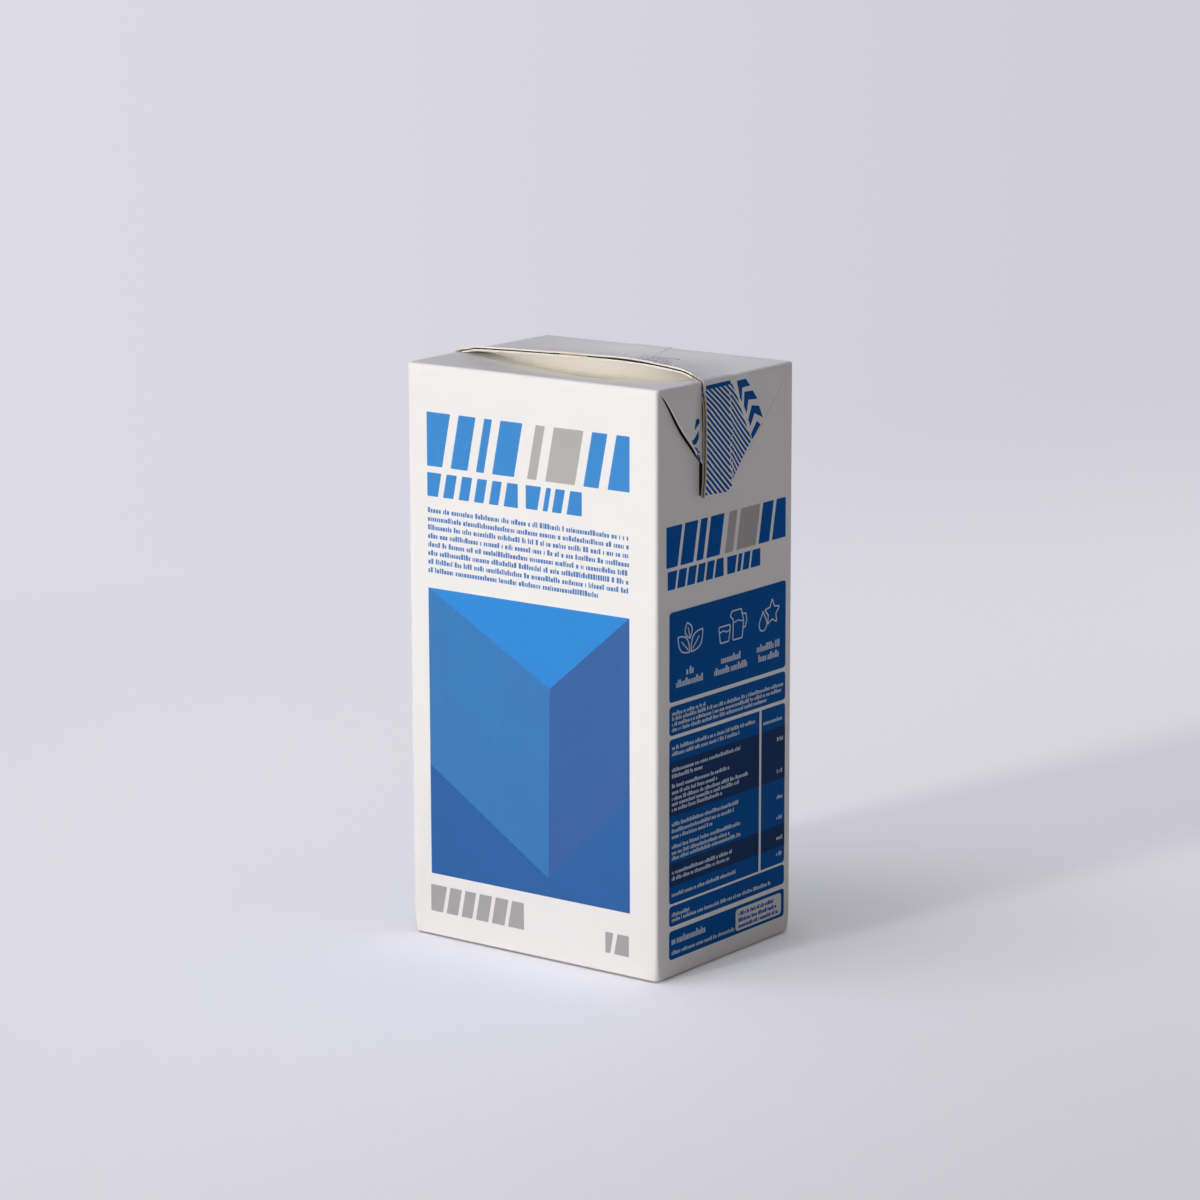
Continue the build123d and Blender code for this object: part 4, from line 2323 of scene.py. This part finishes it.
@dataclass(frozen=True)
class Studio:
    """A pale paper floor, a soft key from the front and a little left, and the camera."""

    key_azimuth: float = -12.0  # degrees from the front, negative towards the pack's left side
    key_elevation: float = 8.5
    key_distance: float = 2600.0
    key_power: float = 806.0
    key_cone: float = 11.3
    key_softness: float = 0.38  # m
    key_colour: str = "#fffdf8"
    key_aim: tuple[float, float, float] = (0.0, -33.0, 275.0)
    top_azimuth: float = -37.0
    top_elevation: float = 63.0
    top_strength: float = 0.88
    top_spread: float = 36.0
    top_colour: str = "#eaeaff"
    ambient: float = 0.185
    room: str = "#f8f5f3"
    backdrop: str = "#d9d8e1"
    eye: tuple[float, float, float] = (731.65, -970.67, 359.42)
    aim: tuple[float, float, float] = (-2.05, 2.32, 100.54)
    lens: float = 126.94
    roll: float = -0.166

    def build(self) -> None:
        """Sets up the floor, the light and the camera."""
        scene = bpy.context.scene
        scene.view_settings.view_transform = "Standard"
        self.floor()
        self.world(scene)
        self.key()
        self.top_light()
        self.camera(scene)

    def floor(self) -> None:
        """The paper, a wide disc that the pack stands on."""
        turns = [2 * math.pi * k / 64 for k in range(64)]
        draft = Draft()
        draft.strip(
            [
                [Vector((radius * math.cos(t), radius * math.sin(t), 0.0)) for t in turns]
                for radius in (0.0, 250.0, 1200.0, 4000.0, 9000.0, 20000.0)
            ],
            around=True,
        )
        mesh = bpy.data.meshes.new("paper_floor")
        mesh.from_pydata([p * MM for p in draft.points], [], draft.faces)
        mesh.materials.append(StudioPaper().build())
        floor = bpy.data.objects.new("paper_floor", mesh)
        bpy.context.scene.collection.objects.link(floor)

    def world(self, scene: bpy.types.Scene) -> None:
        """A dim pale room for light, and the paper's own colour where it is seen.

        Args:
            scene: the scene.
        """
        scene.world = bpy.data.worlds.new("pale_room")
        add = blank(scene.world)
        light, view = (
            add("ShaderNodeBackground", {"Color": linear(colour), "Strength": strength})
            for colour, strength in ((self.room, self.ambient), (self.backdrop, 1.0))
        )
        both = add("ShaderNodeMixShader", {0: seen_directly(add), 1: light, 2: view})
        add("ShaderNodeOutputWorld", {"Surface": both})

    def hang(self, lamp: bpy.types.Light, azimuth: float, elevation: float) -> None:
        """Hangs a lamp on one side of the pack, facing it.

        Args:
            lamp: the lamp.
            azimuth: its bearing, in degrees.
            elevation: its height, in degrees.
        """
        turn, rise = math.radians(azimuth), math.radians(elevation)
        direction = Vector(
            (math.sin(turn) * math.cos(rise), -math.cos(turn) * math.cos(rise), math.sin(rise))
        )
        light = bpy.data.objects.new(lamp.name, lamp)
        light.location = (Vector(self.key_aim) + direction * self.key_distance) * MM
        light.rotation_mode = "QUATERNION"
        light.rotation_quaternion = direction.to_track_quat("Z", "Y")
        bpy.context.scene.collection.objects.link(light)

    def key(self) -> None:
        """The key: a low softbox far in front, fading from the pack's top to its foot."""
        lamp = bpy.data.lights.new("soft_key", "SPOT")
        lamp.energy = self.key_power
        lamp.spot_size = math.radians(self.key_cone)
        lamp.spot_blend = 1.0
        lamp.shadow_soft_size = self.key_softness
        lamp.color = linear(self.key_colour)[:3]
        self.hang(lamp, self.key_azimuth, self.key_elevation)

    def top_light(self) -> None:
        """A wide, cool light from above, which lights the lid and casts the short shadow."""
        lamp = bpy.data.lights.new("top_light", "SUN")
        lamp.energy = self.top_strength
        lamp.angle = math.radians(self.top_spread)
        lamp.color = linear(self.top_colour)[:3]
        self.hang(lamp, self.top_azimuth, self.top_elevation)

    def camera(self, scene: bpy.types.Scene) -> None:
        """A long lens, a little above the pack and to its right.

        Args:
            scene: the scene.
        """
        data = bpy.data.cameras.new("camera")
        data.lens = self.lens
        data.sensor_width = 36.0
        data.clip_start = 0.05
        data.clip_end = 100.0
        camera = bpy.data.objects.new("camera", data)
        eye, aim = Vector(self.eye) * MM, Vector(self.aim) * MM
        camera.location = eye
        camera.rotation_mode = "QUATERNION"
        turn = Quaternion((0, 0, 1), math.radians(self.roll))
        camera.rotation_quaternion = (aim - eye).to_track_quat("-Z", "Y") @ turn
        scene.collection.objects.link(camera)
        scene.camera = camera


def main() -> None:
    """Builds the carton and the studio."""
    logging.basicConfig(level=logging.INFO, format="%(name)s: %(message)s")
    Studio().build()
    palette = Palette()
    pack = Pack.from_frame()
    LOG.info("pack %.1f x %.1f x %.1f mm", pack.width, pack.depth, pack.height)
    Shell(pack).build(palette)
    ear = Ear(pack)
    ear.build(palette)
    fin = Fin(pack, ear)
    fin.build(palette)
    PaintedFoldShade(pack, ear, fin).build(palette)
    BackLap(pack).build(palette)
    BaseFolds(pack).build(palette)
    Lid(pack).build(palette)
    MainPanel(pack, Side.FRONT, seed=3).build(palette)
    MainPanel(pack, Side.BACK, seed=11).build(palette)
    SidePanel(pack, Side.RIGHT, seed=21).build(palette)
    SidePanel(pack, Side.LEFT, seed=34).build(palette)
    EarPrint(EarFace(pack, ear, fin)).build(palette)
    EarPrint(EarFace(pack, ear, fin, left=True)).build(palette)


if __name__ == "__main__":
    main()
